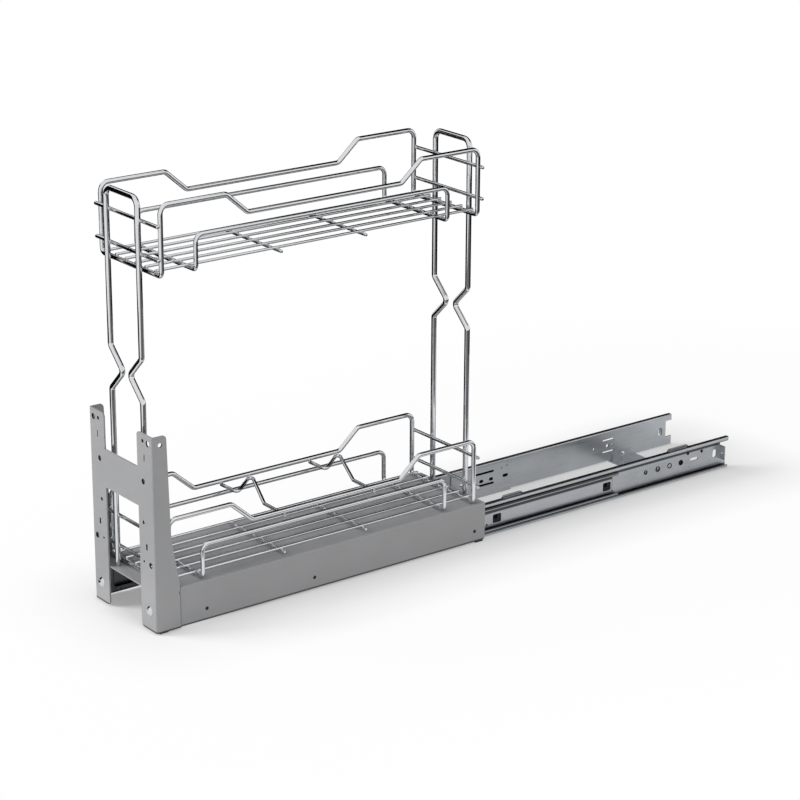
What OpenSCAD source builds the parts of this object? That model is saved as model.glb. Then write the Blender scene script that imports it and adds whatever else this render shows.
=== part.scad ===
// Narrow two-tier wire basket unit for a base cabinet, shown pulled out of the cabinet.
// Millimetres. X runs across the cabinet, Y from the door towards its back and Z up.
// The origin is on the cabinet floor, in the middle of the four floor screw holes.

/* [Runners] */
// Length of the cabinet member of each runner
cabinet_member_len = 500; // [498:1:560]
// Length of the middle member of each runner
middle_member_len = 460; // [440:1:465]
// Length of the drawer member of each runner
drawer_member_len = 466; // [465:1:468]
// Height of a runner
runner_h = 45; // [44:0.5:47]
// Depth of a runner across its three members
runner_depth = 12.7; // [12.5:0.1:13.5]
// Sheet thickness of the runner members
runner_t = 1.2; // [1:0.05:1.3]
// Outer radius of the members' folded edges
runner_fold_r = 2; // [1.6:0.1:2.4]
// Height of the cabinet members above the cabinet floor
runner_lift = 1; // [0.5:0.1:2]
// Distance that the basket unit pulls out
travel = 440; // [400:5:445]
// Gap between the closed door bracket and the cabinet members
closed_gap = 4; // [3.5:0.5:10]
// Share of the travel that the middle member makes
middle_travel_share = 0.425; // [0.4:0.005:0.45]
// Distance from the cabinet member's front to the closed middle member
middle_setback = 18.5; // [12:0.5:24]
// Length of the rear stop folded out of the cabinet member's web
rear_stop_reach = 12.2; // [9:0.1:12.4]

/* [Ball bearings] */
// Diameter of a ball
ball_d = 3.6; // [3.2:0.1:3.7]
// Gap between a ball and its tracks
ball_gap = 0.15; // [0.1:0.01:0.2]
// Distance of the outer balls from the back of the cabinet member
outer_ball_in = 5.6; // [5.3:0.1:5.8]
// Distance of the inner balls from the back of the cabinet member
inner_ball_in = 7.2; // [7:0.1:7.6]
// Distance of the middle member's web from the back of the cabinet member
middle_web_in = 2.6; // [2.5:0.05:2.8]
// Sheet thickness of a ball cage
cage_t = 0.6; // [0.4:0.05:0.7]
// Length of an outer ball cage
outer_cage_len = 210; // [150:10:240]
// Length of an inner ball cage
inner_cage_len = 180; // [120:10:190]
// Balls in one row of a cage
balls_per_row = 10; // [4:1:12]

/* [Base frame] */
// Width of the base frame
frame_w = 138; // [134:1:160]
// Length of the base frame
frame_len = 500; // [495:5:505]
// Height of the base frame
frame_h = 51; // [50:0.5:60]
// Sheet thickness of the base frame
frame_t = 1.5; // [1.2:0.1:2]
// Outer radius of the base frame's folds
frame_fold_r = 2.5; // [2.2:0.1:4]
// Gap under the base frame, filled by the glide pads
floor_gap = 2; // [1.5:0.1:3]
// Width of the tabs folded in at the frame's front
front_tab_w = 25; // [22:1:28]
// Height of those tabs
front_tab_h = 38; // [30:1:40]
// Distance from the frame's front to the drawer members
drawer_setback = 22; // [20:0.5:24]
// Distances from the frame's front to its runner screws
runner_screw_y = [70, 229, 483]; // [24:1:484]
// Diameter of a runner screw
runner_screw_d = 3.4; // [3:0.1:4]
// Height of the runner screws above the frame's lower edge
runner_screw_z = 14.5; // [13:0.5:17]

/* [Door bracket] */
// Height of the door bracket
bracket_h = 248; // [220:2:320]
// Sheet thickness of the door bracket
bracket_t = 2; // [1.5:0.1:3]
// Outer radius of the folds between the front and the side flanges
bracket_fold_r = 3.2; // [3.1:0.1:5]
// Width of each upright
upright_w = 34; // [30:1:38]
// Height of the cross plate between the uprights
cross_plate_h = 49; // [30:1:60]
// Height of the cross plate above the bracket's foot
cross_plate_z = 154; // [140:1:160]
// Depth of the side flanges at their top
flange_top_depth = 19.5; // [16:0.5:22]
// Depth of the side flanges where they start to flare
flange_waist_depth = 23; // [22.5:0.5:26]
// Depth of the side flanges at the base frame
flange_foot_depth = 34; // [30:0.5:40]
// Radius of the bracket's corners
bracket_corner_r = 5; // [3:0.5:6]
// Diameter of the domed heads that hold the bracket to the base frame
bracket_rivet_head_d = 13; // [11:0.5:14]
// Diameter of those rivets' shanks
bracket_rivet_d = 5; // [4:0.5:6]
// Height of those rivets above the bracket's foot
bracket_rivet_z = 25; // [20:0.5:30]
// Distance of those rivets from the bracket's sides
bracket_rivet_in = 16; // [13:0.5:18]
// Diameter of the four holes for the door screws
door_hole_d = 7.5; // [6:0.5:8]
// Distance of the door screw holes from the bracket's sides
door_hole_in = 10; // [9:0.5:11]
// Heights of the door screw holes above the bracket's foot
door_hole_z = [85, 238]; // [75:1:240]

/* [Wire baskets] */
// Height of the upper basket above the lower one
tier_pitch = 383; // [350:1:390]
// Diameter of the rim wires
rim_d = 6; // [5:0.1:6.5]
// Width of a basket between its rails
basket_w = 130; // [124:1:140]
// Height of the rim at the basket's ends
rim_h = 84; // [76:1:95]
// Height of the lowered rim between the ends
rim_low_h = 58; // [56:0.5:60]
// Length of each raised end of the rim
rim_end_len = 89; // [70:1:95]
// Slope of the rim between its raised ends and its lowered middle
rim_slope_deg = 41; // [30:1:50]
// Bend radius at the rim's top corners
rim_top_r = 10.5; // [8:0.5:12]
// Bend radius at the rim's bottom corners
rim_bottom_r = 6; // [5:0.5:8]
// Bend radius of the rim's slopes
rim_slope_r = 8; // [6:0.5:12]
// Distance from the frame's front to the front rail
basket_setback = 21; // [20.5:0.1:22]
// Length of a basket between its end rails
basket_len = 462; // [430:1:464]
// Diameter of the low guard wires
guard_d = 5.5; // [4.5:0.1:6]
// Height of the low guard wires
guard_h = 42; // [30:1:43]
// Distance from the rim's ends to the guard wire's ends
guard_inset = 47; // [30:1:60]
// Bend radius of the guard wires' top corners
guard_top_r = 9.5; // [7:0.5:12]
// Diameter of the floor rods
floor_rod_d = 3.5; // [3:0.1:4.5]
// Number of floor rods
floor_rods = 6; // [4:1:6]
// Distance between two floor rods
floor_rod_pitch = 21.6; // [18:0.1:22]
// Diameter of the wires across the floor
floor_cross_d = 4; // [3.5:0.1:4.5]
// Distances from the front rail to the wires across the floor
floor_cross_y = [169, 293]; // [60:1:400]
// Diameter of the wires across the basket's ends
end_wire_d = 4.5; // [4:0.1:4.6]
// Heights of the wires across the basket's ends
end_wire_z = [20, 60]; // [14:1:66]
// Gap left for the weld between two wires
weld_gap = 0.1; // [0.05:0.01:0.15]

/* [Bottle dividers] */
// Diameter of a divider wire
divider_d = 4.5; // [4:0.1:5]
// Distances from the front rail to the dividers
divider_y = [161, 297]; // [135:1:310]
// Distance along the basket between a divider's first stretch and its back bend
divider_depth = 50; // [40:1:60]
// Bend radius of the dividers
divider_bend_r = 3.5; // [3:0.1:4.5]

/* [Hangers] */
// Diameter of the hanger wires
hanger_d = 7; // [6.2:0.1:7.4]
// Distance between the middles of a hanger's legs
hanger_w = 68.8; // [62:0.1:80]
// Height of a hanger above the base frame
hanger_h = 477.5; // [475:0.5:520]
// Height of a hanger's waist above the base frame
waist_h = 255; // [230:1:280]
// Height of the waist's slopes, above and below it
waist_slope_h = 26.5; // [22:0.5:32]
// Distance from the middle to where the waist's slopes meet
waist_in = 7; // [6.5:0.1:10]
// Bend radius at a hanger's top corners
hanger_top_r = 11; // [9:0.5:16]
// Bend radius of the waist
waist_bend_r = 7; // [5:0.5:8]
// Diameter of a hanger screw
hanger_screw_d = 3.9; // [3:0.1:4]

/* [Cabinet brackets] */
// Distance between the front and rear floor screw holes
floor_hole_pitch_y = 291; // [270:1:300]
// Distance between the left and right floor screw holes
floor_hole_pitch_x = 60; // [40:1:70]
// Diameter of the floor screw holes
floor_hole_d = 4.5; // [4:0.1:5.5]
// Distance from the cabinet members' front to the front floor holes
front_hole_setback = 115; // [110:1:120]
// Sheet thickness of the cross brackets
cross_bracket_t = 1.5; // [1.2:0.1:1.8]
// Width of the front strap
front_strap_w = 45; // [42:1:52]
// Width of the rear strap
rear_strap_w = 51; // [46:1:56]
// Lengths of the ears that stand beside the near runner
near_ear_len = [35, 39]; // [30:1:44]
// Height of the ears that stand beside the near runner
near_ear_h = 48; // [42:0.5:49]
// Height of the front ear beside the far runner
far_ear_h = 44; // [42:0.5:46]
// Length of the front ear beside the far runner
far_ear_len = 104; // [98:1:110]
// Height of the rear ear beside the far runner
low_ear_h = 12; // [11:0.5:16]
// Diameter of the tubular rivets through ears and runners
rivet_d = 5; // [4:0.1:5.5]

/* [Hidden] */

$fn = 24;

// Colours as photographed
chrome = [0.82, 0.83, 0.85];
zinc = [0.66, 0.69, 0.72];
painted_grey = [0.55, 0.56, 0.57];
polished_steel = [0.75, 0.76, 0.78];
black_plastic = [0.08, 0.08, 0.09];
black_oxide = [0.1, 0.1, 0.11];

// How far a cut runs past the face that it leaves
overrun = 1;
// Gap between a screw or rivet and its hole
shank_gap = 0.1;

// Runner section: places outwards from the cabinet member's back, heights from the middle
lip_r = ball_d / 2 + ball_gap + runner_t;
lip_from_deg = -30;
outer_track_z = runner_h / 2 - lip_r;
middle_top_z = outer_track_z - ball_d / 2 - ball_gap;
inner_track_z = middle_top_z - lip_r;
drawer_top_z = inner_track_z - ball_d / 2 - ball_gap;
drawer_web_in = runner_depth - runner_t;
drawer_flange_reach = 7.5;
outer_cage_in = (runner_t + middle_web_in - cage_t) / 2;
inner_cage_in = (middle_web_in + runner_t + runner_depth - drawer_flange_reach - cage_t) / 2;
cage_arm_past_ball = 1.6;
cage_pocket_gap = 0.1;

// Places along the unit while it is pulled out
cabinet_front_y = -(floor_hole_pitch_y / 2 + front_hole_setback);
cabinet_rear_y = cabinet_front_y + cabinet_member_len;
frame_front_y = cabinet_front_y - closed_gap - travel;
frame_rear_y = frame_front_y + frame_len;
middle_front_y = cabinet_front_y + middle_setback - travel * middle_travel_share;
drawer_front_y = frame_front_y + drawer_setback;
outer_cage_setback = 161.5;
inner_cage_setback = 156.5;
outer_cage_y = cabinet_front_y + outer_cage_setback - travel * middle_travel_share / 2;
inner_cage_y = cabinet_front_y + inner_cage_setback - travel * (1 + middle_travel_share) / 2;

// Places across and up
frame_top_z = floor_gap + frame_h;
wall_in_x = frame_w / 2 - frame_t;
web_x = wall_in_x - runner_depth;
runner_mid_z = runner_lift + runner_h / 2;
screw_z = floor_gap + runner_screw_z;

// Cabinet member, with heights from the runner's middle
prong_len = 11;
prong_gap_top = 14;
prong_gap_bottom = -9.5;
rear_stop_bottom = -9;
rear_stop_top = 11;
rear_stop_hole_d = 2.4;
relief_y = 479;
relief_w = 7;
relief_h = 12;
flange_round_r = 4;
// Holes as [distance from the front, height above the middle, diameter]
near_holes = [[349.6, 0.5, 3.6], [372, 0.5, 5.4], [415, 0.5, 5.4], [428, 11, 1.8], [454, 9, 1.8]];
near_slot_y = 440;
near_slot_len = 15;
near_slot_w = 4.4;
near_slot_rise = 0.5;
far_holes = [[353, 0.5, 3.8], [378, 0.5, 5.2], [387.6, 0.5, 3], [480, 1.5, 4]];
far_slot_y = 379.5;
far_slot_len = 21;
far_slot_w = 2.4;
far_slot_rise = [9.5, -8];

// Middle member: stop windows and a pilot hole; the front window and the hole are placed
// from its front and the rear window from its rear end
front_window_y = 253.5;
rear_window_in = 15;
window_y = [front_window_y, middle_member_len - rear_window_in];
window_len = 14;
window_h = 12;
window_drop = 2.5;
window_corner_r = 2;
pilot_y = 236.5;
pilot_drop = 8.5;
pilot_d = 3;
middle_web_recess = 6;
buffer_gap = 0.1;
buffer_notch_len = 7;
buffer_notch_h = 6;

// Base frame: its front corners are rounded more than the bracket's folds in front of them
front_corner_ease = 1;
front_corner_r = bracket_fold_r - bracket_t + front_corner_ease;
front_tab_z = 4;
frame_corner_r = 4;
runner_head_d = 6.2;
runner_head_h = 1.9;
screw_recess = 0.5;
pad_len = 12;
pad_setback = 3;
pad_lip_t = 1.5;
pad_lip_h = 5;

// Door bracket: its width and the heights of its details above its foot
bracket_w = frame_w + 2 * bracket_t;
flange_waist_z = 115;
flange_flare_z = 54;
flange_notch_z = 45.5;
flange_notch_r = 2.5;
flange_hole_z = 237;
flange_hole_in = 10.7;
flange_hole_d = 5.5;
// Smaller holes as [distance from the bracket's side, height, diameter]
upright_holes = [[21, 239, 4.5], [22, 188, 7], [23.5, 136, 4.5], [25, 86, 3]];
// Slots as [distance from the bracket's side, height, length, width]
upright_slots = [[18.5, 218.5, 8.6, 1.5], [18, 106, 8, 3]];
bracket_rivet_head_h = 3.4;
shop_head_d = 8;
shop_head_h = 1.5;

// Baskets and hangers
rim_x = basket_w / 2;
rim_front_y = frame_front_y + basket_setback;
rim_rear_y = rim_front_y + basket_len;
lower_z = frame_top_z + weld_gap + rim_d / 2;
upper_z = lower_z + tier_pitch;
guard_x = rim_x - (rim_d - guard_d);
rod_past_rail = 2;
end_wire_past_rim = 1;
hanger_out = rim_d / 2 + end_wire_d + hanger_d / 2 + 2 * weld_gap;
leg_hole_depth = 14;
hanger_screw_len = 12;
hanger_head_d = 7;
hanger_head_h = 2.2;
divider_z = lower_z + rim_low_h - rim_d / 2 - weld_gap - divider_d / 2;
// Bends of a divider, as shares of the basket's half width and of the divider's depth
divider_shares = [[-1.03, 0], [-0.48, 0.02], [-1.12, 1], [0.32, 0.12], [1.03, 0.1]];

// Cross brackets, with heights from the runner's middle
front_strap_y = -floor_hole_pitch_y / 2;
rear_strap_y = floor_hole_pitch_y / 2;
near_ear_shift = [-1.5, 3.5];
far_ear_before = 18;
low_ear_shift = 1;
ear_corner_r = 4;
ear_slot_y = 37.5;
ear_slot_len = 37;
ear_slot_w = 3;
ear_slot_rise = [10.5, -6.5];
ear_oval_y = [34, 51];
ear_oval_len = 7;
ear_oval_w = 4.6;
ear_pair_y = 76;
ear_pair_len = 9.5;
ear_pair_w = 4.4;
ear_dot_y = [69, 79];
ear_dot_rise = [11.5, 13.5];
ear_dot_d = 1.8;
ear_hole_drop = 0.5;
rivet_before = 12;
low_rivet_z = 6.5;
rivet_head_d = 7.5;
rivet_head_h = 1.3;
rivet_bore_d = 2.6;
rivet_bore_depth = 2;
strap_slot_len = 18;
strap_slot_w = 4.5;
strap_slot_y = 12;
strap_slot_x = 12;

// A bend is drawn a little thinner than the wire and laps into the straight stretches
bend_thinning = 0.12;
bend_lap = 0.5;

function unit(v) = v / norm(v);
function turn_deg(a, b) = atan2(norm(cross(a, b)), a * b);
function radius_at(r, i) = is_list(r) ? r[i] : r;
function trim(p, q, s, r) = r * tan(turn_deg(q - p, s - q) / 2);

// Places the children with their X, Y and Z along three directions
module aim(x_dir, y_dir, z_dir, place)
    multmatrix([
        [x_dir.x, y_dir.x, z_dir.x, place.x],
        [x_dir.y, y_dir.y, z_dir.y, place.y],
        [x_dir.z, y_dir.z, z_dir.z, place.z],
        [0, 0, 0, 1]
    ]) children();

// Straight stretch of wire from a to b
module stretch(a, b, normal, d) {
    dir = unit(b - a);
    aim(normal, cross(dir, normal), dir, a)
        cylinder(h = norm(b - a), d = d);
}

// Round bend at q, between the directions from p and to s
module bend(p, q, s, d, r) {
    dir_in = unit(q - p);
    dir_out = unit(s - q);
    inward = unit(dir_out - dir_in * (dir_in * dir_out));
    start = q - dir_in * trim(p, q, s, r);
    lap_deg = bend_lap / r * 180 / PI;
    aim(-inward, dir_in, cross(-inward, dir_in), start + inward * r)
        rotate([0, 0, -lap_deg])
            rotate_extrude(angle = turn_deg(dir_in, dir_out) + 2 * lap_deg)
                translate([r, 0]) circle(d = d - bend_thinning);
}

// Wire through points with round bends; r is one radius, or a list with one for each point
module bent_wire(points, d, r, closed = false) {
    n = len(points);
    for (i = [0 : closed ? n - 1 : n - 2]) {
        before = points[(i + n - 1) % n];
        a = points[i];
        b = points[(i + 1) % n];
        after = points[(i + 2) % n];
        bent_a = closed || i > 0;
        bent_b = closed || i < n - 2;
        dir = unit(b - a);
        normal = unit(bent_b ? cross(dir, after - b) : cross(a - before, dir));
        cut_a = bent_a ? trim(before, a, b, radius_at(r, i)) : 0;
        cut_b = bent_b ? trim(a, b, after, radius_at(r, (i + 1) % n)) : 0;
        stretch(a + dir * cut_a, b - dir * cut_b, normal, d);
    }
    for (i = [closed ? 0 : 1 : closed ? n - 1 : n - 2])
        bend(points[(i + n - 1) % n], points[i], points[(i + 1) % n], d, radius_at(r, i));
}

// Rod from start along dir, with slightly rounded ends
module rod(start, dir, length, d) {
    edge = d / 5;
    aim([0, 0, 1], cross(dir, [0, 0, 1]), dir, start)
        rotate_extrude()
            polygon([
                [0, 0], [d / 2 - edge, 0], [d / 2, edge],
                [d / 2, length - edge], [d / 2 - edge, length], [0, length]
            ]);
}

// Part of a ring between two angles less than 180 degrees apart
module ring_sector(r_out, r_in, from_deg, to_deg)
    intersection() {
        difference() {
            circle(r_out);
            circle(r_in);
        }
        polygon([
            [0, 0],
            for (k = [0 : 2])
                let (a = from_deg + (to_deg - from_deg) * k / 2) 2 * r_out * [cos(a), sin(a)]
        ]);
    }

// What rounds off a corner at the origin when it is cut from a sheet that lies along -X and -Y
module corner_cut(r, t)
    difference() {
        translate([-r, -r, 0]) cube([r + overrun, r + overrun, t]);
        translate([-r, -r, -overrun]) cylinder(h = t + 2 * overrun, r = r);
    }

// Domed head on the XY plane
module dome(d, h) {
    ball_r = (d * d / 4 + h * h) / (2 * h);
    intersection() {
        translate([0, 0, h - ball_r]) sphere(ball_r);
        cylinder(h = h, d = d);
    }
}

// Extrudes a section drawn across (X) and up (Y) along the unit, from y
module along_y(y, length)
    translate([0, y + length, 0])
        rotate([90, 0, 0]) linear_extrude(length) children();

// Puts the near side's runner pieces in place, or their mirror image for the far side
module runner_side(side)
    mirror([side < 0 ? 1 : 0, 0, 0])
        translate([web_x, 0, runner_mid_z]) children();

// Round hole across a runner and the ear beside it
module web_hole(y, z, d)
    translate([-cross_bracket_t - overrun, y, z])
        rotate([0, 90, 0]) cylinder(h = cross_bracket_t + runner_depth, d = d);

// The same as a slot along the runner
module web_slot(y, z, length, w) {
    run = length - w;
    for (s = [-1, 1])
        web_hole(y + s * run / 2, z, w);
    translate([-cross_bracket_t - overrun, y - run / 2, z - w / 2])
        cube([cross_bracket_t + runner_depth, run, w]);
}

// The same as a window with round corners
module web_window(y, z, length, height, r) {
    for (s = [-1, 1])
        web_slot(y, z + s * (height / 2 - r), length, 2 * r);
    translate([-overrun, y - length / 2, z - height / 2 + r])
        cube([runner_depth, length, height - 2 * r]);
}

// Flange and hooked lip above the middle of a runner member, from its web out to the balls
module lipped_flange(web_in, top_z, lip_in) {
    translate([web_in + runner_fold_r, top_z - runner_fold_r])
        ring_sector(runner_fold_r, runner_fold_r - runner_t, 90, 180);
    translate([web_in + runner_fold_r, top_z - runner_t])
        square([lip_in - web_in - runner_fold_r, runner_t]);
    translate([lip_in, top_z - lip_r])
        ring_sector(lip_r, lip_r - runner_t, lip_from_deg, 90);
}

// Section of the cabinet or middle member
module lipped_section(web_in, top_z, lip_in) {
    translate([web_in, runner_fold_r - top_z])
        square([runner_t, 2 * (top_z - runner_fold_r)]);
    for (s = [0, 1])
        mirror([0, s]) lipped_flange(web_in, top_z, lip_in);
}

// Cabinet member with the rear cuts and stop of both sides, before its holes
module cabinet_member_blank() {
    difference() {
        along_y(cabinet_front_y, cabinet_member_len)
            lipped_section(0, runner_h / 2, outer_ball_in);
        translate([-overrun, cabinet_rear_y - prong_len, prong_gap_bottom])
            cube([outer_ball_in, prong_len + overrun, prong_gap_top - prong_gap_bottom]);
        web_slot_up(cabinet_front_y + relief_y, 0, relief_h, relief_w);
        for (s = [0, 1])
            mirror([0, 0, s])
                translate([outer_ball_in + lip_r, cabinet_rear_y, outer_track_z - lip_r])
                    corner_cut(flange_round_r, 2 * lip_r + overrun);
    }
    translate([0, cabinet_rear_y - prong_len - runner_t, 0]) difference() {
        translate([0, 0, rear_stop_bottom])
            cube([rear_stop_reach, runner_t, rear_stop_top - rear_stop_bottom]);
        translate([(rear_stop_reach + runner_t) / 2, -overrun, 0])
            rotate([-90, 0, 0]) cylinder(h = runner_t + 2 * overrun, d = rear_stop_hole_d);
    }
}

// Slot across a runner that stands upright
module web_slot_up(y, z, length, w) {
    run = length - w;
    for (s = [-1, 1])
        web_hole(y, z + s * run / 2, w);
    translate([-overrun, y - w / 2, z - run / 2])
        cube([2 * overrun + runner_t, w, run]);
}

// Rivet places along the unit and from the runner's middle, as [y, z]
near_rivets = [
    for (strap_y = [front_strap_y, rear_strap_y]) [strap_y - rivet_before, near_slot_rise]
];
far_rivets = [[front_strap_y, 0], [rear_strap_y, low_rivet_z - runner_mid_z]];

// Holes through a runner, given as [distance from its front, height, diameter]
module member_holes(front_y, holes)
    for (hole = holes)
        web_hole(front_y + hole[0], hole[1], hole[2]);

module rivet_holes(places)
    for (p = places)
        web_hole(p.x, p.y, rivet_d + 2 * shank_gap);

// Slots and holes that the far front ear shares with the runner behind it
module far_ear_holes() {
    for (rise = ear_slot_rise)
        web_slot(front_strap_y + ear_slot_y, rise, ear_slot_len, ear_slot_w);
    for (y = ear_oval_y)
        web_slot(front_strap_y + y, -ear_hole_drop, ear_oval_len, ear_oval_w);
    web_slot(front_strap_y + ear_pair_y, -ear_hole_drop, ear_pair_len, ear_pair_w);
    for (i = [0 : len(ear_dot_y) - 1])
        web_hole(front_strap_y + ear_dot_y[i], ear_dot_rise[i], ear_dot_d);
}

module cabinet_member_near()
    color(zinc) runner_side(1) difference() {
        cabinet_member_blank();
        member_holes(cabinet_front_y, near_holes);
        web_slot(cabinet_front_y + near_slot_y, near_slot_rise, near_slot_len, near_slot_w);
        rivet_holes(near_rivets);
    }

module cabinet_member_far()
    color(zinc) runner_side(-1) difference() {
        cabinet_member_blank();
        member_holes(cabinet_front_y, far_holes);
        for (rise = far_slot_rise)
            web_slot(cabinet_front_y + far_slot_y, rise, far_slot_len, far_slot_w);
        far_ear_holes();
        rivet_holes(far_rivets);
    }

// Strap on the floor between the runners, round its middle at y, with its two floor screw holes
module strap(y, w)
    difference() {
        translate([-web_x, y - w / 2, 0]) cube([2 * web_x, w, cross_bracket_t]);
        for (s = [-1, 1]) {
            translate([s * floor_hole_pitch_x / 2, y, -overrun])
                cylinder(h = cross_bracket_t + 2 * overrun, d = floor_hole_d);
            for (x = [-strap_slot_x, strap_slot_x])
                translate([x - strap_slot_len / 2, y + s * strap_slot_y - strap_slot_w / 2, -overrun])
                    cube([strap_slot_len, strap_slot_w, cross_bracket_t + 2 * overrun]);
        }
    }

// Ear against the inner face of a runner, from y on, with round top corners
module ear(y, length, height)
    difference() {
        translate([-cross_bracket_t, y, -runner_mid_z]) cube([cross_bracket_t, length, height]);
        for (s = [0, 1])
            translate([-cross_bracket_t - overrun, y + (1 - s) * length, height - runner_mid_z])
                mirror([0, s, 0]) rotate([90, 0, 90])
                    corner_cut(ear_corner_r, cross_bracket_t + 2 * overrun);
    }

// Ear beside the near runner; i is 0 at the front strap and 1 at the rear one
module near_ear(strap_y, i)
    runner_side(1) difference() {
        ear(strap_y + near_ear_shift[i] - near_ear_len[i] / 2, near_ear_len[i], near_ear_h);
        rivet_holes(near_rivets);
    }

module front_cross_bracket()
    color(zinc) {
        strap(front_strap_y, front_strap_w);
        near_ear(front_strap_y, 0);
        runner_side(-1) difference() {
            ear(front_strap_y - far_ear_before, far_ear_len, far_ear_h);
            far_ear_holes();
            rivet_holes(far_rivets);
        }
    }

module rear_cross_bracket()
    color(zinc) {
        strap(rear_strap_y, rear_strap_w);
        near_ear(rear_strap_y, 1);
        runner_side(-1) difference() {
            ear(rear_strap_y + low_ear_shift - near_ear_len[1] / 2, near_ear_len[1], low_ear_h);
            rivet_holes(far_rivets);
        }
    }

// Tubular rivet through an ear and a runner's web, flush at the web's outer face
module rivet(p)
    translate([-cross_bracket_t, p.x, p.y]) {
        rotate([0, -90, 0]) dome(rivet_head_d, rivet_head_h);
        rotate([0, 90, 0]) difference() {
            cylinder(h = cross_bracket_t + runner_t, d = rivet_d);
            translate([0, 0, cross_bracket_t + runner_t - rivet_bore_depth])
                cylinder(h = rivet_bore_depth + overrun, d = rivet_bore_d);
        }
    }

module cross_bracket_rivets()
    color(polished_steel) {
        for (p = near_rivets)
            runner_side(1) rivet(p);
        for (p = far_rivets)
            runner_side(-1) rivet(p);
    }

module middle_member(side)
    color(zinc) runner_side(side) difference() {
        along_y(middle_front_y, middle_member_len)
            lipped_section(middle_web_in, middle_top_z, inner_ball_in);
        for (y = window_y)
            web_window(middle_front_y + y, -window_drop, window_len, window_h, window_corner_r);
        web_hole(middle_front_y + pilot_y, -pilot_drop, pilot_d);
        translate([0, middle_front_y + middle_member_len - middle_web_recess, -drawer_top_z])
            cube([middle_web_in + runner_t + overrun, middle_web_recess + overrun, 2 * drawer_top_z]);
    }

// Plastic stops in the middle member's windows, each with a stepped upper front corner
module stop_buffers(side)
    color(black_plastic) runner_side(side) for (y = window_y) {
        w = window_len - 2 * buffer_gap;
        h = window_h - 2 * buffer_gap;
        translate([middle_web_in, middle_front_y + y - w / 2, -window_drop - h / 2])
            difference() {
                cube([runner_t, w, h]);
                translate([-overrun, -overrun, h - buffer_notch_h])
                    cube([runner_t + 2 * overrun, buffer_notch_len + overrun, buffer_notch_h + overrun]);
                for (s = [0, 1])
                    translate([-overrun, w, s * h])
                        mirror([0, 0, 1 - s]) rotate([90, 0, 90])
                            corner_cut(window_corner_r, runner_t + 2 * overrun);
                translate([-overrun, 0, 0])
                    mirror([0, 1, 0]) mirror([0, 0, 1]) rotate([90, 0, 90])
                        corner_cut(window_corner_r, runner_t + 2 * overrun);
            }
    }

module drawer_member(side)
    color(zinc) runner_side(side) difference() {
        along_y(drawer_front_y, drawer_member_len) {
            translate([drawer_web_in, runner_fold_r - drawer_top_z])
                square([runner_t, 2 * (drawer_top_z - runner_fold_r)]);
            for (s = [0, 1])
                mirror([0, s]) {
                    translate([runner_depth - runner_fold_r, drawer_top_z - runner_fold_r])
                        ring_sector(runner_fold_r, runner_fold_r - runner_t, 0, 90);
                    translate([runner_depth - drawer_flange_reach, drawer_top_z - runner_t])
                        square([drawer_flange_reach - runner_fold_r, runner_t]);
                }
        }
        for (y = runner_screw_y)
            translate([drawer_web_in - overrun, frame_front_y + y, screw_z - runner_mid_z])
                rotate([0, 90, 0])
                    cylinder(h = runner_t + 2 * overrun, d = runner_screw_d + 2 * shank_gap);
    }

function ball_y(cage_y, length, i) = cage_y + length * (i + 0.5) / balls_per_row;

// Ball cage: a strip between two webs with an arm towards each row of balls
module ball_cage(cage_in, ball_in, track_z, y, length)
    difference() {
        along_y(y, length) {
            translate([cage_in, -track_z - cage_t / 2]) square([cage_t, 2 * track_z + cage_t]);
            for (s = [-1, 1])
                translate([cage_in, s * track_z - cage_t / 2])
                    square([ball_in + cage_arm_past_ball - cage_in, cage_t]);
        }
        for (i = [0 : balls_per_row - 1], s = [-1, 1])
            translate([ball_in, ball_y(y, length, i), s * track_z - cage_t / 2 - overrun])
                cylinder(h = cage_t + 2 * overrun, d = ball_d + 2 * cage_pocket_gap);
    }

module balls(ball_in, track_z, y, length)
    for (i = [0 : balls_per_row - 1], s = [-1, 1])
        translate([ball_in, ball_y(y, length, i), s * track_z]) sphere(d = ball_d);

module outer_ball_cage(side)
    color(zinc) runner_side(side)
        ball_cage(outer_cage_in, outer_ball_in, outer_track_z, outer_cage_y, outer_cage_len);

module inner_ball_cage(side)
    color(zinc) runner_side(side)
        ball_cage(inner_cage_in, inner_ball_in, inner_track_z, inner_cage_y, inner_cage_len);

module outer_balls(side)
    color(polished_steel) runner_side(side)
        balls(outer_ball_in, outer_track_z, outer_cage_y, outer_cage_len);

module inner_balls(side)
    color(polished_steel) runner_side(side)
        balls(inner_ball_in, inner_track_z, inner_cage_y, inner_cage_len);

// Tab folded in at the front of the base frame's side, on the +X side
module front_tab()
    translate([wall_in_x - front_tab_w, frame_front_y, floor_gap + front_tab_z])
        cube([front_tab_w + frame_t / 2, frame_t, front_tab_h]);

// Where the hanger legs and their screws stand
module at_hanger_legs()
    for (y = [rim_front_y - hanger_out, rim_rear_y + hanger_out], s = [-1, 1])
        translate([s * hanger_w / 2, y, 0]) children();

// Where the door bracket's rivets go through, pointing back from the bracket's front
module at_bracket_rivets()
    for (s = [-1, 1])
        translate([
            s * (bracket_w / 2 - bracket_rivet_in), frame_front_y - bracket_t, floor_gap + bracket_rivet_z
        ])
            rotate([-90, 0, 0]) children();

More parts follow.
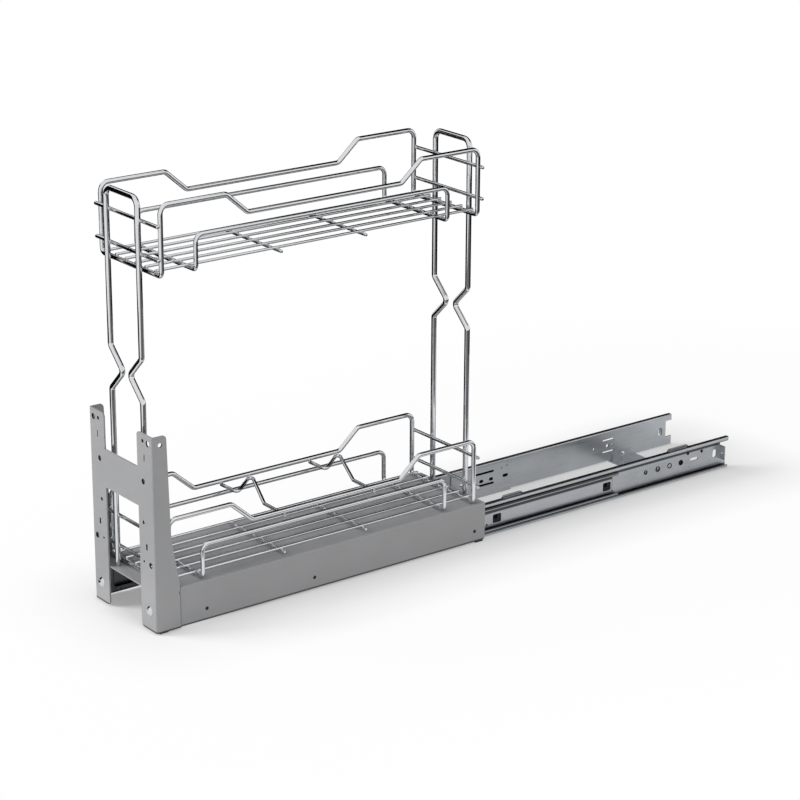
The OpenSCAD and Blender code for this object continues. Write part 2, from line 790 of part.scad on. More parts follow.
module base_frame()
    color(painted_grey) difference() {
        union() {
            along_y(frame_front_y, frame_len) {
                translate([frame_fold_r - frame_w / 2, frame_top_z - frame_t])
                    square([frame_w - 2 * frame_fold_r, frame_t]);
                for (s = [0, 1])
                    mirror([s, 0]) {
                        translate([frame_w / 2 - frame_fold_r, frame_top_z - frame_fold_r])
                            ring_sector(frame_fold_r, frame_fold_r - frame_t, 0, 90);
                        translate([wall_in_x, floor_gap])
                            square([frame_t, frame_h - frame_fold_r]);
                    }
            }
            for (s = [0, 1])
                mirror([s, 0, 0]) front_tab();
        }
        for (s = [0, 1])
            mirror([s, 0, 0]) translate([frame_w / 2, frame_front_y, floor_gap - overrun])
                mirror([0, 1, 0]) corner_cut(front_corner_r, frame_h + 2 * overrun);
        for (y = runner_screw_y)
            translate([-frame_w / 2 - overrun, frame_front_y + y, screw_z])
                rotate([0, 90, 0])
                    cylinder(h = frame_w + 2 * overrun, d = runner_screw_d + 2 * shank_gap);
        at_hanger_legs()
            translate([0, 0, frame_top_z - frame_t - overrun])
                cylinder(h = frame_t + 2 * overrun, d = hanger_screw_d + 2 * shank_gap);
        at_bracket_rivets()
            cylinder(h = bracket_t + frame_t + overrun, d = bracket_rivet_d + 2 * shank_gap);
        translate([-frame_w / 2 - overrun, frame_rear_y, floor_gap])
            mirror([0, 0, 1]) rotate([90, 0, 90])
                corner_cut(frame_corner_r, frame_w + 2 * overrun);
    }

// Screws from inside the drawer members, their tips just inside the frame's outer face
module runner_screws()
    color(black_oxide) for (side = [-1, 1], y = runner_screw_y)
        runner_side(side)
            translate([drawer_web_in, frame_front_y + y, screw_z - runner_mid_z]) {
                rotate([0, -90, 0]) dome(runner_head_d, runner_head_h);
                rotate([0, 90, 0])
                    cylinder(h = runner_t + frame_t - screw_recess, d = runner_screw_d);
            }

// Plastic glides clipped over the lower edges of the frame's sides
module glide_pads()
    color(black_plastic)
        for (s = [0, 1], y = [frame_front_y + pad_setback, frame_rear_y - pad_setback - pad_len])
            mirror([s, 0, 0]) translate([wall_in_x - pad_lip_t, y, 0]) {
                cube([pad_lip_t + frame_t, pad_len, floor_gap]);
                cube([pad_lip_t, pad_len, floor_gap + pad_lip_h]);
            }

// Upright of the door bracket on the +X side: front leg, fold and flared side flange
module bracket_upright()
    difference() {
        intersection() {
            translate([bracket_w / 2, frame_front_y - bracket_t, floor_gap])
                linear_extrude(bracket_h) {
                    translate([-upright_w, 0])
                        square([upright_w - bracket_fold_r, bracket_t]);
                    translate([-bracket_fold_r, bracket_fold_r])
                        ring_sector(bracket_fold_r, bracket_fold_r - bracket_t, -90, 0);
                    translate([-bracket_t, bracket_fold_r])
                        square([bracket_t, flange_foot_depth - bracket_fold_r]);
                }
            translate([0, frame_front_y - bracket_t, floor_gap])
                rotate([90, 0, 90]) linear_extrude(bracket_w)
                    polygon([
                        [-overrun, -overrun],
                        [flange_foot_depth, -overrun],
                        [flange_foot_depth, flange_flare_z],
                        [flange_waist_depth, flange_waist_z],
                        [flange_top_depth, bracket_h + overrun],
                        [-overrun, bracket_h + overrun]
                    ]);
        }
        // Round corners of the front leg, towards the middle
        for (s = [0, 1])
            translate([bracket_w / 2 - upright_w, frame_front_y + overrun, floor_gap + s * bracket_h])
                mirror([1, 0, 0]) mirror([0, 0, 1 - s]) rotate([90, 0, 0])
                    corner_cut(bracket_corner_r, bracket_t + 2 * overrun);
        // Round top corner of the side flange
        translate([
            bracket_w / 2 - bracket_t - overrun,
            frame_front_y - bracket_t + flange_top_depth,
            floor_gap + bracket_h
        ])
            rotate([90, 0, 90]) corner_cut(bracket_corner_r, bracket_t + 2 * overrun);
        // Relief notch and screw hole in the side flange
        translate([
            bracket_w / 2 - bracket_t - overrun,
            frame_front_y - bracket_t + flange_foot_depth,
            floor_gap + flange_notch_z
        ])
            rotate([0, 90, 0]) cylinder(h = bracket_t + 2 * overrun, r = flange_notch_r);
        translate([
            bracket_w / 2 - bracket_t - overrun,
            frame_front_y - bracket_t + flange_hole_in,
            floor_gap + flange_hole_z
        ])
            rotate([0, 90, 0]) cylinder(h = bracket_t + 2 * overrun, d = flange_hole_d);
        // Door screw holes, smaller holes and slots in the front leg
        for (z = door_hole_z)
            front_hole(door_hole_in, z, door_hole_d);
        for (hole = upright_holes)
            front_hole(hole[0], hole[1], hole[2]);
        for (slot = upright_slots)
            front_slot(slot[0], slot[1], slot[2], slot[3]);
    }

// Hole through the front leg, from the bracket's side and above its foot
module front_hole(in, z, d)
    translate([bracket_w / 2 - in, frame_front_y + overrun, floor_gap + z])
        rotate([90, 0, 0]) cylinder(h = bracket_t + 2 * overrun, d = d);

// The same as an upright slot
module front_slot(in, z, length, w) {
    run = length - w;
    for (s = [-1, 1])
        front_hole(in, z + s * run / 2, w);
    translate([bracket_w / 2 - in - w / 2, frame_front_y - bracket_t - overrun, floor_gap + z - run / 2])
        cube([w, bracket_t + 2 * overrun, run]);
}

module door_bracket()
    color(painted_grey) difference() {
        union() {
            for (s = [0, 1])
                mirror([s, 0, 0]) bracket_upright();
            translate([
                upright_w - bracket_w / 2 - bracket_t, frame_front_y - bracket_t, floor_gap + cross_plate_z
            ])
                cube([bracket_w - 2 * upright_w + 2 * bracket_t, bracket_t, cross_plate_h]);
        }
        at_bracket_rivets()
            translate([0, 0, -overrun])
                cylinder(h = bracket_t + 2 * overrun, d = bracket_rivet_d + 2 * shank_gap);
    }

module door_bracket_rivets()
    color(polished_steel) at_bracket_rivets() {
        rotate([180, 0, 0]) dome(bracket_rivet_head_d, bracket_rivet_head_h);
        cylinder(h = bracket_t + frame_t, d = bracket_rivet_d);
        translate([0, 0, bracket_t + frame_t]) cylinder(h = shop_head_h, d = shop_head_d);
    }

// One leg of a hanger from its foot up, on the side s
function leg_points(s, y) = [
    [s * hanger_w / 2, y, frame_top_z],
    [s * hanger_w / 2, y, frame_top_z + waist_h - waist_slope_h],
    [s * waist_in, y, frame_top_z + waist_h],
    [s * hanger_w / 2, y, frame_top_z + waist_h + waist_slope_h],
    [s * hanger_w / 2, y, frame_top_z + hanger_h - hanger_d / 2]
];

function reversed(list) = [for (i = [len(list) - 1 : -1 : 0]) list[i]];

module hanger(y)
    color(chrome) difference() {
        bent_wire(
            concat(leg_points(-1, y), reversed(leg_points(1, y))),
            hanger_d,
            [
                for (i = [0 : 9])
                    i == 4 || i == 5 ? hanger_top_r : waist_bend_r
            ]
        );
        for (s = [-1, 1])
            translate([s * hanger_w / 2, y, frame_top_z - overrun])
                cylinder(h = leg_hole_depth + overrun, d = hanger_screw_d + 2 * shank_gap);
    }

module front_hanger() hanger(rim_front_y - hanger_out);

module rear_hanger() hanger(rim_rear_y + hanger_out);

module hanger_screws()
    color(polished_steel) at_hanger_legs()
        translate([0, 0, frame_top_z - frame_t]) {
            rotate([180, 0, 0]) dome(hanger_head_d, hanger_head_h);
            cylinder(h = frame_t + hanger_screw_len, d = hanger_screw_d);
        }

// One side of a basket's rim from its front to its rear, on the side s
function rim_side(s, z) =
    let (slope_len = (rim_h - rim_low_h) / tan(rim_slope_deg), low_in = rim_end_len + slope_len)
    [
        [s * rim_x, rim_front_y, z],
        [s * rim_x, rim_front_y, z + rim_h],
        [s * rim_x, rim_front_y + rim_end_len, z + rim_h],
        [s * rim_x, rim_front_y + low_in, z + rim_low_h],
        [s * rim_x, rim_rear_y - low_in, z + rim_low_h],
        [s * rim_x, rim_rear_y - rim_end_len, z + rim_h],
        [s * rim_x, rim_rear_y, z + rim_h],
        [s * rim_x, rim_rear_y, z]
    ];
rim_side_r = [
    rim_bottom_r, rim_top_r, rim_slope_r, rim_slope_r,
    rim_slope_r, rim_slope_r, rim_top_r, rim_bottom_r
];

module rim_wire(z)
    color(chrome) bent_wire(
        concat(rim_side(1, z), reversed(rim_side(-1, z))),
        rim_d,
        concat(rim_side_r, rim_side_r),
        closed = true
    );

// One side of a basket's low guard, on the side s
function guard_side(s, z) = [
    [s * guard_x, rim_front_y + guard_inset, z + (rim_d - guard_d) / 2],
    [s * guard_x, rim_front_y + guard_inset, z + guard_h],
    [s * guard_x, rim_rear_y - guard_inset, z + guard_h],
    [s * guard_x, rim_rear_y - guard_inset, z + (rim_d - guard_d) / 2]
];
guard_side_r = [rim_bottom_r, guard_top_r, guard_top_r, rim_bottom_r];

module guard_wire(z)
    color(chrome) bent_wire(
        concat(guard_side(1, z), reversed(guard_side(-1, z))),
        guard_d,
        concat(guard_side_r, guard_side_r),
        closed = true
    );

module floor_rod_set(z)
    color(chrome) for (i = [0 : floor_rods - 1])
        rod(
            [
                (i - (floor_rods - 1) / 2) * floor_rod_pitch,
                rim_front_y - rod_past_rail,
                z + rim_d / 2 + weld_gap + floor_rod_d / 2
            ],
            [0, 1, 0], basket_len + 2 * rod_past_rail, floor_rod_d
        );

module floor_cross_wires(z)
    color(chrome) for (y = floor_cross_y)
        rod(
            [(rim_d - basket_w) / 2, rim_front_y + y, z + (rim_d - floor_cross_d) / 2],
            [1, 0, 0], basket_w - rim_d, floor_cross_d
        );

module end_wires(z) {
    out = rim_d / 2 + weld_gap + end_wire_d / 2;
    reach = rim_x + rim_d / 2 + end_wire_past_rim;
    color(chrome) for (y = [rim_front_y - out, rim_rear_y + out], up = end_wire_z)
        rod([-reach, y, z + up], [1, 0, 0], 2 * reach, end_wire_d);
}

module divider(y)
    color(chrome) bent_wire(
        [
            for (p = divider_shares)
                [p.x * rim_x, rim_front_y + y + p.y * divider_depth, divider_z]
        ],
        divider_d,
        divider_bend_r
    );

cabinet_member_near();
cabinet_member_far();
front_cross_bracket();
rear_cross_bracket();
cross_bracket_rivets();
outer_ball_cage(1);  // outer_ball_cage_near
outer_ball_cage(-1);  // outer_ball_cage_far
outer_balls(1);  // outer_balls_near
outer_balls(-1);  // outer_balls_far
middle_member(1);  // middle_member_near
middle_member(-1);  // middle_member_far
stop_buffers(1);  // stop_buffers_near
stop_buffers(-1);  // stop_buffers_far
inner_ball_cage(1);  // inner_ball_cage_near
inner_ball_cage(-1);  // inner_ball_cage_far
inner_balls(1);  // inner_balls_near
inner_balls(-1);  // inner_balls_far
drawer_member(1);  // drawer_member_near
drawer_member(-1);  // drawer_member_far
base_frame();
runner_screws();
glide_pads();
door_bracket();
door_bracket_rivets();
front_hanger();
rear_hanger();
hanger_screws();
rim_wire(lower_z);  // lower_rim_wire
guard_wire(lower_z);  // lower_guard_wire
floor_rod_set(lower_z);  // lower_floor_rods
floor_cross_wires(lower_z);  // lower_floor_cross_wires
end_wires(lower_z);  // lower_end_wires
divider(divider_y[0]);  // front_divider
divider(divider_y[1]);  // rear_divider
rim_wire(upper_z);  // upper_rim_wire
guard_wire(upper_z);  // upper_guard_wire
floor_rod_set(upper_z);  // upper_floor_rods
floor_cross_wires(upper_z);  // upper_floor_cross_wires
end_wires(upper_z);  // upper_end_wires
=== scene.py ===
"""Narrow two-tier wire basket unit on runners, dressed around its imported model."""
import math

import bmesh
import bpy
from bpy.props import FloatProperty, FloatVectorProperty, IntProperty, PointerProperty
from mathutils import Matrix, Vector


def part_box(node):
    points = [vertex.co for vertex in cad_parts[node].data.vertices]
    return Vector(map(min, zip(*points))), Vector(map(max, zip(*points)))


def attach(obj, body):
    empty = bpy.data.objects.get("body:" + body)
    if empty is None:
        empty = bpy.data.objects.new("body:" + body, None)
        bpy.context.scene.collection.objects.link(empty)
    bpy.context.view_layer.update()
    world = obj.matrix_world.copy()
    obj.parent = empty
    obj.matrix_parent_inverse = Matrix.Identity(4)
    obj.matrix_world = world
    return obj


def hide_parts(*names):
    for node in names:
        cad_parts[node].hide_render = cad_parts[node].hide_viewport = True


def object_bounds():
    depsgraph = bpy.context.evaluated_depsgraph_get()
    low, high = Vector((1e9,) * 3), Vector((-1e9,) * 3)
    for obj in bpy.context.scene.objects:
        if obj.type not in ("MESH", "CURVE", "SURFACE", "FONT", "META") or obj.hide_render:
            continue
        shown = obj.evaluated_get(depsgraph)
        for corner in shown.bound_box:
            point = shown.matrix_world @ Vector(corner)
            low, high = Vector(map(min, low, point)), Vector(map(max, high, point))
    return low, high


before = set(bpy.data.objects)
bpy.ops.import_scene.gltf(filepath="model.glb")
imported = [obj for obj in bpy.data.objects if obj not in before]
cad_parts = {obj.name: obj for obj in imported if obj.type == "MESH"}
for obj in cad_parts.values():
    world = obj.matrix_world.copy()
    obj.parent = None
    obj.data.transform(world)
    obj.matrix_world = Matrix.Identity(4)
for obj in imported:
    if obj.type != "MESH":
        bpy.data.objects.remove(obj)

CAD_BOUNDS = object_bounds()

bl_info = {
    "name": "Pull-out basket unit",
    "version": (1, 0, 0),
    "blender": (4, 5, 0),
    "location": "View3D > Sidebar > Basket unit",
    "description": "Dresses a pull-out basket with chrome wires, painted sheet and zinc-plated runners",
    "category": "Object",
}

UNIT = "pull_out_unit"
TIERS = ("lower", "upper")
SIDES = ("near", "far")


# Sizes and colours that a user would change

class WireSizes(bpy.types.PropertyGroup):
    """Sizes of the chrome wires"""
    rim_d: FloatProperty(
        name="Rim wire", description="Diameter of the rim wires", default=0.006, unit="LENGTH")
    rim_low_h: FloatProperty(
        name="Lowered rim", description="Height of the rim between its raised ends", default=0.058,
        unit="LENGTH")
    rim_end_len: FloatProperty(
        name="Raised end", description="Length of each raised end of the rim", default=0.089, unit="LENGTH")
    rim_slope: FloatProperty(
        name="Rim slope", description="Slope between the raised ends and the lowered middle",
        default=math.radians(41), subtype="ANGLE")
    rim_top_r: FloatProperty(
        name="Rim top bend", description="Bend radius at the rim's top corners", default=0.0105,
        unit="LENGTH")
    rim_slope_r: FloatProperty(
        name="Rim slope bend", description="Bend radius of the rim's slopes", default=0.008, unit="LENGTH")
    bottom_r: FloatProperty(
        name="Bottom bend", description="Bend radius where rims and guards turn across", default=0.006,
        unit="LENGTH")
    guard_d: FloatProperty(
        name="Guard wire", description="Diameter of the guard wires", default=0.0055, unit="LENGTH")
    guard_top_r: FloatProperty(
        name="Guard top bend", description="Bend radius at the guards' top corners", default=0.0095,
        unit="LENGTH")
    rod_d: FloatProperty(
        name="Floor rod", description="Diameter of the floor rods", default=0.0035, unit="LENGTH")
    rods: IntProperty(name="Floor rods", description="Number of floor rods in a basket", default=6, min=2)
    cross_d: FloatProperty(
        name="Cross wire", description="Diameter of the wires across the floor", default=0.004, unit="LENGTH")
    end_d: FloatProperty(
        name="End wire", description="Diameter of the wires across the basket's ends", default=0.0045,
        unit="LENGTH")
    divider_d: FloatProperty(
        name="Divider wire", description="Diameter of the bottle dividers", default=0.0045, unit="LENGTH")
    divider_depth: FloatProperty(
        name="Divider depth", description="Distance along the basket that a divider takes", default=0.05,
        unit="LENGTH")
    divider_r: FloatProperty(
        name="Divider bend", description="Bend radius of the dividers", default=0.0035, unit="LENGTH")
    hanger_d: FloatProperty(
        name="Hanger wire", description="Diameter of the hangers", default=0.007, unit="LENGTH")
    hanger_top_r: FloatProperty(
        name="Hanger top bend", description="Bend radius at a hanger's top corners", default=0.011,
        unit="LENGTH")
    waist_r: FloatProperty(
        name="Waist bend", description="Bend radius of a hanger's waist", default=0.007, unit="LENGTH")
    waist_h: FloatProperty(
        name="Waist height", description="Height of a hanger's waist above its feet", default=0.255,
        unit="LENGTH")
    waist_slope_h: FloatProperty(
        name="Waist slope", description="Height of the waist's slopes", default=0.0265, unit="LENGTH")
    waist_in: FloatProperty(
        name="Waist half width", description="Distance from the middle to the waist", default=0.007,
        unit="LENGTH")
    sides: IntProperty(
        name="Wire sides", description="Faces around a wire, a multiple of four", default=20, min=8)
    thin_sides: IntProperty(
        name="Thin wire sides", description="Faces around a straight thin wire", default=16, min=8)


class SheetSizes(bpy.types.PropertyGroup):
    """Sizes of the details on the folded sheet pieces"""
    paint_edge: FloatProperty(
        name="Painted edge", description="Rounding of the painted pieces' cut edges", default=0.00045,
        unit="LENGTH")
    zinc_edge: FloatProperty(
        name="Plated edge", description="Rounding of the runners' cut edges", default=0.0002, unit="LENGTH")
    frame_t: FloatProperty(
        name="Frame sheet", description="Sheet thickness of the base frame", default=0.0015, unit="LENGTH")
    bracket_t: FloatProperty(
        name="Bracket sheet", description="Sheet thickness of the door bracket", default=0.002, unit="LENGTH")
    upright_w: FloatProperty(
        name="Upright", description="Width of each upright of the door bracket", default=0.034, unit="LENGTH")
    flange_d: FloatProperty(
        name="Flange", description="Depth of the side flanges where their screw holes are", default=0.017,
        unit="LENGTH")
    paint_corner: FloatProperty(
        name="Painted corner", description="Radius of the door bracket's corners", default=0.0055,
        unit="LENGTH")
    web_half_h: FloatProperty(
        name="Web holes", description="Distance from the runner's middle within which its web is punched",
        default=0.0135, unit="LENGTH")
    runner_t: FloatProperty(
        name="Runner sheet", description="Sheet thickness of the runner members", default=0.0012,
        unit="LENGTH")
    outer_track: FloatProperty(
        name="Outer track", description="Distance of the cabinet member's tracks from the runner's middle",
        default=0.0170, unit="LENGTH")
    inner_track: FloatProperty(
        name="Inner track", description="Distance of the middle member's tracks from the runner's middle",
        default=0.0118, unit="LENGTH")
    # Painted shade: the tracks darken further under the runners' upper lips, where the lips cast shadow
    lip_shade_h: FloatProperty(
        name="Upper lip shade", description="Extra height of the painted shade under the runners' upper lips",
        default=0.0062, unit="LENGTH")
    # The collars and rims round punched holes are dark rings of painted shade
    collar_w: FloatProperty(
        name="Collar width", description="Width of the collars round the web's holes", default=0.0013,
        unit="LENGTH")
    collar_h: FloatProperty(
        name="Collar height", description="Height of the collars round the web's holes", default=0.0004,
        unit="LENGTH")
    frame_rim_w: FloatProperty(
        name="Frame hole rim", description="Width of the dark rims round the base frame's holes",
        default=0.0005, unit="LENGTH")
    frame_rim_h: FloatProperty(
        name="Frame rim height", description="Height of the rims round the base frame's holes",
        default=0.00008, unit="LENGTH")
    small_edge: FloatProperty(
        name="Small edge", description="Rounding of the small hardware's edges", default=0.00012,
        unit="LENGTH")
    smooth_below: FloatProperty(
        name="Smooth below", description="Edges that turn less than this look smooth",
        default=math.radians(34), subtype="ANGLE")


class UnitColours(bpy.types.PropertyGroup):
    """Colours of the finishes"""
    chrome: FloatVectorProperty(
        name="Chrome", description="Chromium plating", default=(0.70, 0.71, 0.73), subtype="COLOR", size=3)
    zinc: FloatVectorProperty(
        name="Zinc", description="Zinc plating of the runners", default=(0.48, 0.50, 0.52),
        subtype="COLOR", size=3)
    paint: FloatVectorProperty(
        name="Paint", description="Grey powder coat", default=(0.295, 0.296, 0.302), subtype="COLOR", size=3)
    steel: FloatVectorProperty(
        name="Bright steel", description="Rivets, screws and balls", default=(0.70, 0.71, 0.73),
        subtype="COLOR", size=3)
    oxide: FloatVectorProperty(
        name="Black oxide", description="Runner screws", default=(0.02, 0.02, 0.022), subtype="COLOR", size=3)
    plastic: FloatVectorProperty(
        name="Plastic", description="Stop buffers and glide pads", default=(0.007, 0.007, 0.008),
        subtype="COLOR", size=3)


# Shader maths and finishes

# Grease and painted shade on the runners: dark tone, share of plating hidden on tracks and covered webs, fade
GREASE_AND_SHADE_TONE = (0.03, 0.03, 0.032)
TRACK_SHARE = 0.9
COVERED_SHADE_SHARE = 0.96
TRACK_DARK_FADE = 0.0014
COVER_CLEAR = 0.003
# Web thickness with a little to spare
WEB_SPARE = 1.1
# Least product of a place and its facing, in metres, on a face that turns away from the middle
FLANGE_TURN = 0.002
WEB_TURN = 0.01
# Bluish tint of the zinc's passivation
PASSIVATION = (0.50, 0.55, 0.60)
# Brightness of the drawer members and of the greased ball cages, as a share of clean plating; both are
# darkened as painted shade inside the runners
DRAWER_SHADE_LEVEL, CAGE_SHADE_LEVEL = 0.3, 0.02
# Painted shade in the paint's seam and along its lower edge: where each fades, and its share of the dark tone
SEAM_SHADE_FADE = (0.0004, 0.001)
SEAM_SHADE_SHARE = 0.75
LOWER_EDGE_SHADE_FADE = (0.0016, 0.0024)
LOWER_EDGE_SHADE_SHARE = 0.97


class Signal:
    """An output socket of a finish, so that shader maths reads as arithmetic"""

    def __init__(self, finish, socket):
        self.finish = finish
        self.socket = socket

    def maths(self, operation, *values):
        return self.finish.node("ShaderNodeMath", {"operation": operation}, dict(enumerate(values)))

    def __add__(self, other):
        return self.maths("ADD", self, other)

    def __sub__(self, other):
        return self.maths("SUBTRACT", self, other)

    def __rsub__(self, other):
        return self.maths("SUBTRACT", other, self)

    def __mul__(self, other):
        return self.maths("MULTIPLY", self, other)

    def __gt__(self, other):
        return self.maths("GREATER_THAN", self, other)

    def __lt__(self, other):
        return self.maths("LESS_THAN", self, other)

    def __abs__(self):
        return self.maths("ABSOLUTE", self)

    def either(self, other):
        """The larger of two signals"""
        return self.maths("MAXIMUM", self, other)

    __radd__ = __add__
    __rmul__ = __mul__


class Finish:
    """A material in the making, or the world, with one method that adds any node"""

    def __init__(self, owner):
        owner.use_nodes = True
        self.owner = owner
        self.tree = owner.node_tree
        self.surface = self.tree.nodes.get("Principled BSDF")

    def node(self, kind, settings=None, inputs=None, output=0):
        """Adds a node with its settings, then the values or links of its inputs"""
        made = self.tree.nodes.new(kind)
        for name, value in (settings or {}).items():
            setattr(made, name, value)
        for name, value in (inputs or {}).items():
            self.feed(made.inputs[name], value)
        return Signal(self, made.outputs[output])

    def feed(self, socket, value):
        if isinstance(value, Signal):
            self.tree.links.new(value.socket, socket)
        elif socket.type == "RGBA":
            socket.default_value = (*value[:3], 1.0)
        else:
            socket.default_value = value

    def set(self, **inputs):
        """Feeds the surface shader's inputs; an underscore stands for a space"""
        for name, value in inputs.items():
            self.feed(self.surface.inputs[name.replace("_", " ")], value)

    def place(self, scale):
        """Object coordinates, stretched by a scale along each axis"""
        at = self.node("ShaderNodeTexCoord", output="Object")
        return self.node("ShaderNodeMapping", {}, {"Vector": at, "Scale": scale})

    def vector(self, operation, *values):
        return self.node("ShaderNodeVectorMath", {"operation": operation}, dict(enumerate(values)))

    def axis(self, vector, name):
        """One of a vector's parts: X, Y or Z"""
        return self.node("ShaderNodeSeparateXYZ", {}, {"Vector": vector}, output=name)

    def at(self, name):
        """One of the object coordinates: X, Y or Z"""
        return self.axis(self.node("ShaderNodeTexCoord", output="Object"), name)

    def facing(self, name):
        """How far a face turns towards an axis: X, Y or Z"""
        return self.axis(self.node("ShaderNodeNewGeometry", output="Normal"), name)

    def noise(self, scale, detail=2.0, stretch=(1.0, 1.0, 1.0)):
        return self.node(
            "ShaderNodeTexNoise", {}, {"Vector": self.place(stretch), "Scale": scale, "Detail": detail})

    def spread(self, signal, low, high, out_low, out_high):
        """Stretches a signal's range to another"""
        return self.node("ShaderNodeMapRange", {"clamp": True}, {
            "Value": signal, "From Min": low, "From Max": high, "To Min": out_low, "To Max": out_high})

    def blend(self, share, first, second):
        """Colour between two colours"""
        return self.node("ShaderNodeMix", {"data_type": "RGBA"}, {0: share, 6: first, 7: second}, output=2)

    def bump(self, height, strength, distance):
        return self.node(
            "ShaderNodeBump", {}, {"Height": height, "Strength": strength, "Distance": distance})


def shade(colour, factor):
    return tuple(min(1.0, c * factor) for c in colour)


def new_finish(name):
    return Finish(bpy.data.materials.new(name))


def chrome_finish(colours):
    """Mirror-bright plating with the faint waviness of drawn wire"""
    f = new_finish("chrome_plating")
    haze = f.spread(f.noise(60.0, 3.0), 0.35, 0.75, 0.035, 0.085)
    tint = f.blend(f.spread(f.noise(25.0), 0.35, 0.65, 0.0, 1.0), shade(colours.chrome, 0.97), colours.chrome)
    ripple = f.noise(420.0, 1.0, (1.0, 0.12, 1.0))
    f.set(Base_Color=tint, Metallic=1.0, Roughness=haze, Normal=f.bump(ripple, 0.05, 0.0002))
    return f.owner


def track_grease_and_shade(f, web_x, middle_z, reach, both_sides):
    """1 on the ball tracks of a runner member, further than a reach from the runner's middle, where grease
    and painted shade darken the plating; the painted shade reaches further under the upper lips
    """
    x, z = f.at("X"), f.at("Z") - middle_z
    on_web = (x * f.facing("X") > 0.0) * (abs(x) < web_x)
    outward = z * f.facing("Z")
    on_flange = abs(outward) > FLANGE_TURN if both_sides else outward < -FLANGE_TURN
    over = abs(z) + (z > 0.0) * bpy.context.scene.sheet_sizes.lip_shade_h
    return f.spread(over, reach, reach + TRACK_DARK_FADE, 0.0, 1.0) * on_web.either(on_flange)


def covered_web_shade(f, kind, web_x):
    """1 on the web where another member slides over it, seen only through windows and holes: painted shade
    between the members
    """
    x = f.at("X")
    turned = x * f.facing("X")
    if kind == "middle":
        return (turned < -WEB_TURN) * (abs(x) < web_x)
    cover_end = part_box("middle_member_near")[1].y - COVER_CLEAR
    return (turned > WEB_TURN) * (abs(x) < web_x) * (f.at("Y") < cover_end)


def member_finish(colours, kind, reach):
    """Zinc plating of a runner member, with grease and painted shade on the tracks where its balls run, and
    painted shade where another member covers its web
    """
    low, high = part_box(f"{kind}_member_near")
    f = Finish(zinc_finish(colours, f"zinc_{kind}_member"))
    web_x = low.x + bpy.context.scene.sheet_sizes.runner_t * WEB_SPARE
    grease_and_shade = track_grease_and_shade(f, web_x, (low.z + high.z) / 2, reach, kind == "middle")
    return darken(f, (grease_and_shade * TRACK_SHARE).either(covered_web_shade(f, kind, web_x) * COVERED_SHADE_SHARE))


def darken(f, share):
    """Blends a plating towards the dark tone of grease and painted shade"""
    plated = Signal(f, f.surface.inputs["Base Color"].links[0].from_socket)
    f.set(Base_Color=f.blend(share, plated, GREASE_AND_SHADE_TONE))
    return f.owner


def bracket_finish(colours):
    """Zinc plating of the cross brackets, with painted shade where the cabinet members cover them"""
    low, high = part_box("cabinet_member_near")
    f = Finish(zinc_finish(colours, "zinc_cross_bracket"))
    x = f.at("X")
    web_back = low.x - bpy.context.scene.sheet_sizes.runner_t / 2
    outer = (x * f.facing("X") > WEB_TURN) * (abs(x) > web_back)
    return darken(f, outer * (f.at("Z") < high.z) * COVERED_SHADE_SHARE)


def zinc_finish(colours, name, level=1.0):
    """Zinc plating with rolling streaks along the runner and cloudy passivation"""
    f = new_finish(name)
    plating = shade(colours.zinc, level)
    streaks = f.noise(260.0, 4.0, (1.0, 0.02, 1.0))
    clouds = f.noise(28.0, 3.0, (1.0, 0.45, 1.0))
    grain = f.noise(1400.0, 2.0)
    body = f.blend(f.spread(clouds, 0.35, 0.7, 0.0, 1.0), shade(plating, 0.82), shade(plating, 1.06))
    cool = f.blend(f.spread(streaks, 0.4, 0.62, 0.0, 0.35), body, shade(PASSIVATION, level))
    rough = f.spread(streaks * 0.6 + clouds * 0.4, 0.35, 0.65, 0.24, 0.4)
    f.set(
        Base_Color=cool, Metallic=1.0, Roughness=rough,
        Normal=f.bump(streaks * 0.7 + grain * 0.3, 0.12, 0.0002))
    return f.owner


def paint_finish(colours):
    """Satin powder coat with a fine orange peel"""
    f = new_finish("grey_powder_coat")
    peel = f.noise(1500.0, 2.0)
    fleck = f.spread(f.noise(4200.0, 1.0), 0.55, 0.7, 0.0, 0.5)
    clouds = f.spread(f.noise(14.0), 0.3, 0.7, 0.0, 1.0)
    base = f.blend(clouds, shade(colours.paint, 0.97), shade(colours.paint, 1.03))
    speckled = f.blend(fleck, base, shade(colours.paint, 1.5))
    # Painted shade in the seam where the door bracket's foot meets the base frame, and along the lower edge
    # next to the floor
    seam_shade = f.spread(abs(f.at("Y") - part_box("door_bracket")[1].y), *SEAM_SHADE_FADE, SEAM_SHADE_SHARE, 0.0)
    lower_edge_shade = f.spread(f.at("Z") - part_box("base_frame")[0].z, *LOWER_EDGE_SHADE_FADE, LOWER_EDGE_SHADE_SHARE, 0.0)
    f.set(
        Base_Color=f.blend(seam_shade.either(lower_edge_shade), speckled, shade(colours.paint, 0.12)), Metallic=0.0,
        Roughness=f.spread(peel, 0.3, 0.7, 0.36, 0.46), IOR=1.5,
        Normal=f.bump(peel, 0.14, 0.0002))
    return f.owner


def steel_finish(colours):
    """Polished steel of the rivets, screws and balls"""
    f = new_finish("bright_steel")
    haze = f.noise(500.0, 2.0)
    f.set(
        Base_Color=f.blend(haze, shade(colours.steel, 0.92), colours.steel), Metallic=1.0,
        Roughness=f.spread(haze, 0.3, 0.7, 0.1, 0.2), Normal=f.bump(haze, 0.05, 0.0001))
    return f.owner


def shaded_hole_finish(colours):
    """Black walls of punched holes: painted shade inside the holes"""
    f = new_finish("shaded_hole_walls")
    mottle = f.noise(1200.0, 2.0)
    f.set(
        Base_Color=f.blend(mottle, shade(colours.oxide, 0.3), shade(colours.oxide, 0.8)), Metallic=0.0,
        Roughness=f.spread(mottle, 0.3, 0.7, 0.5, 0.7), Specular_IOR_Level=0.1)
    return f.owner


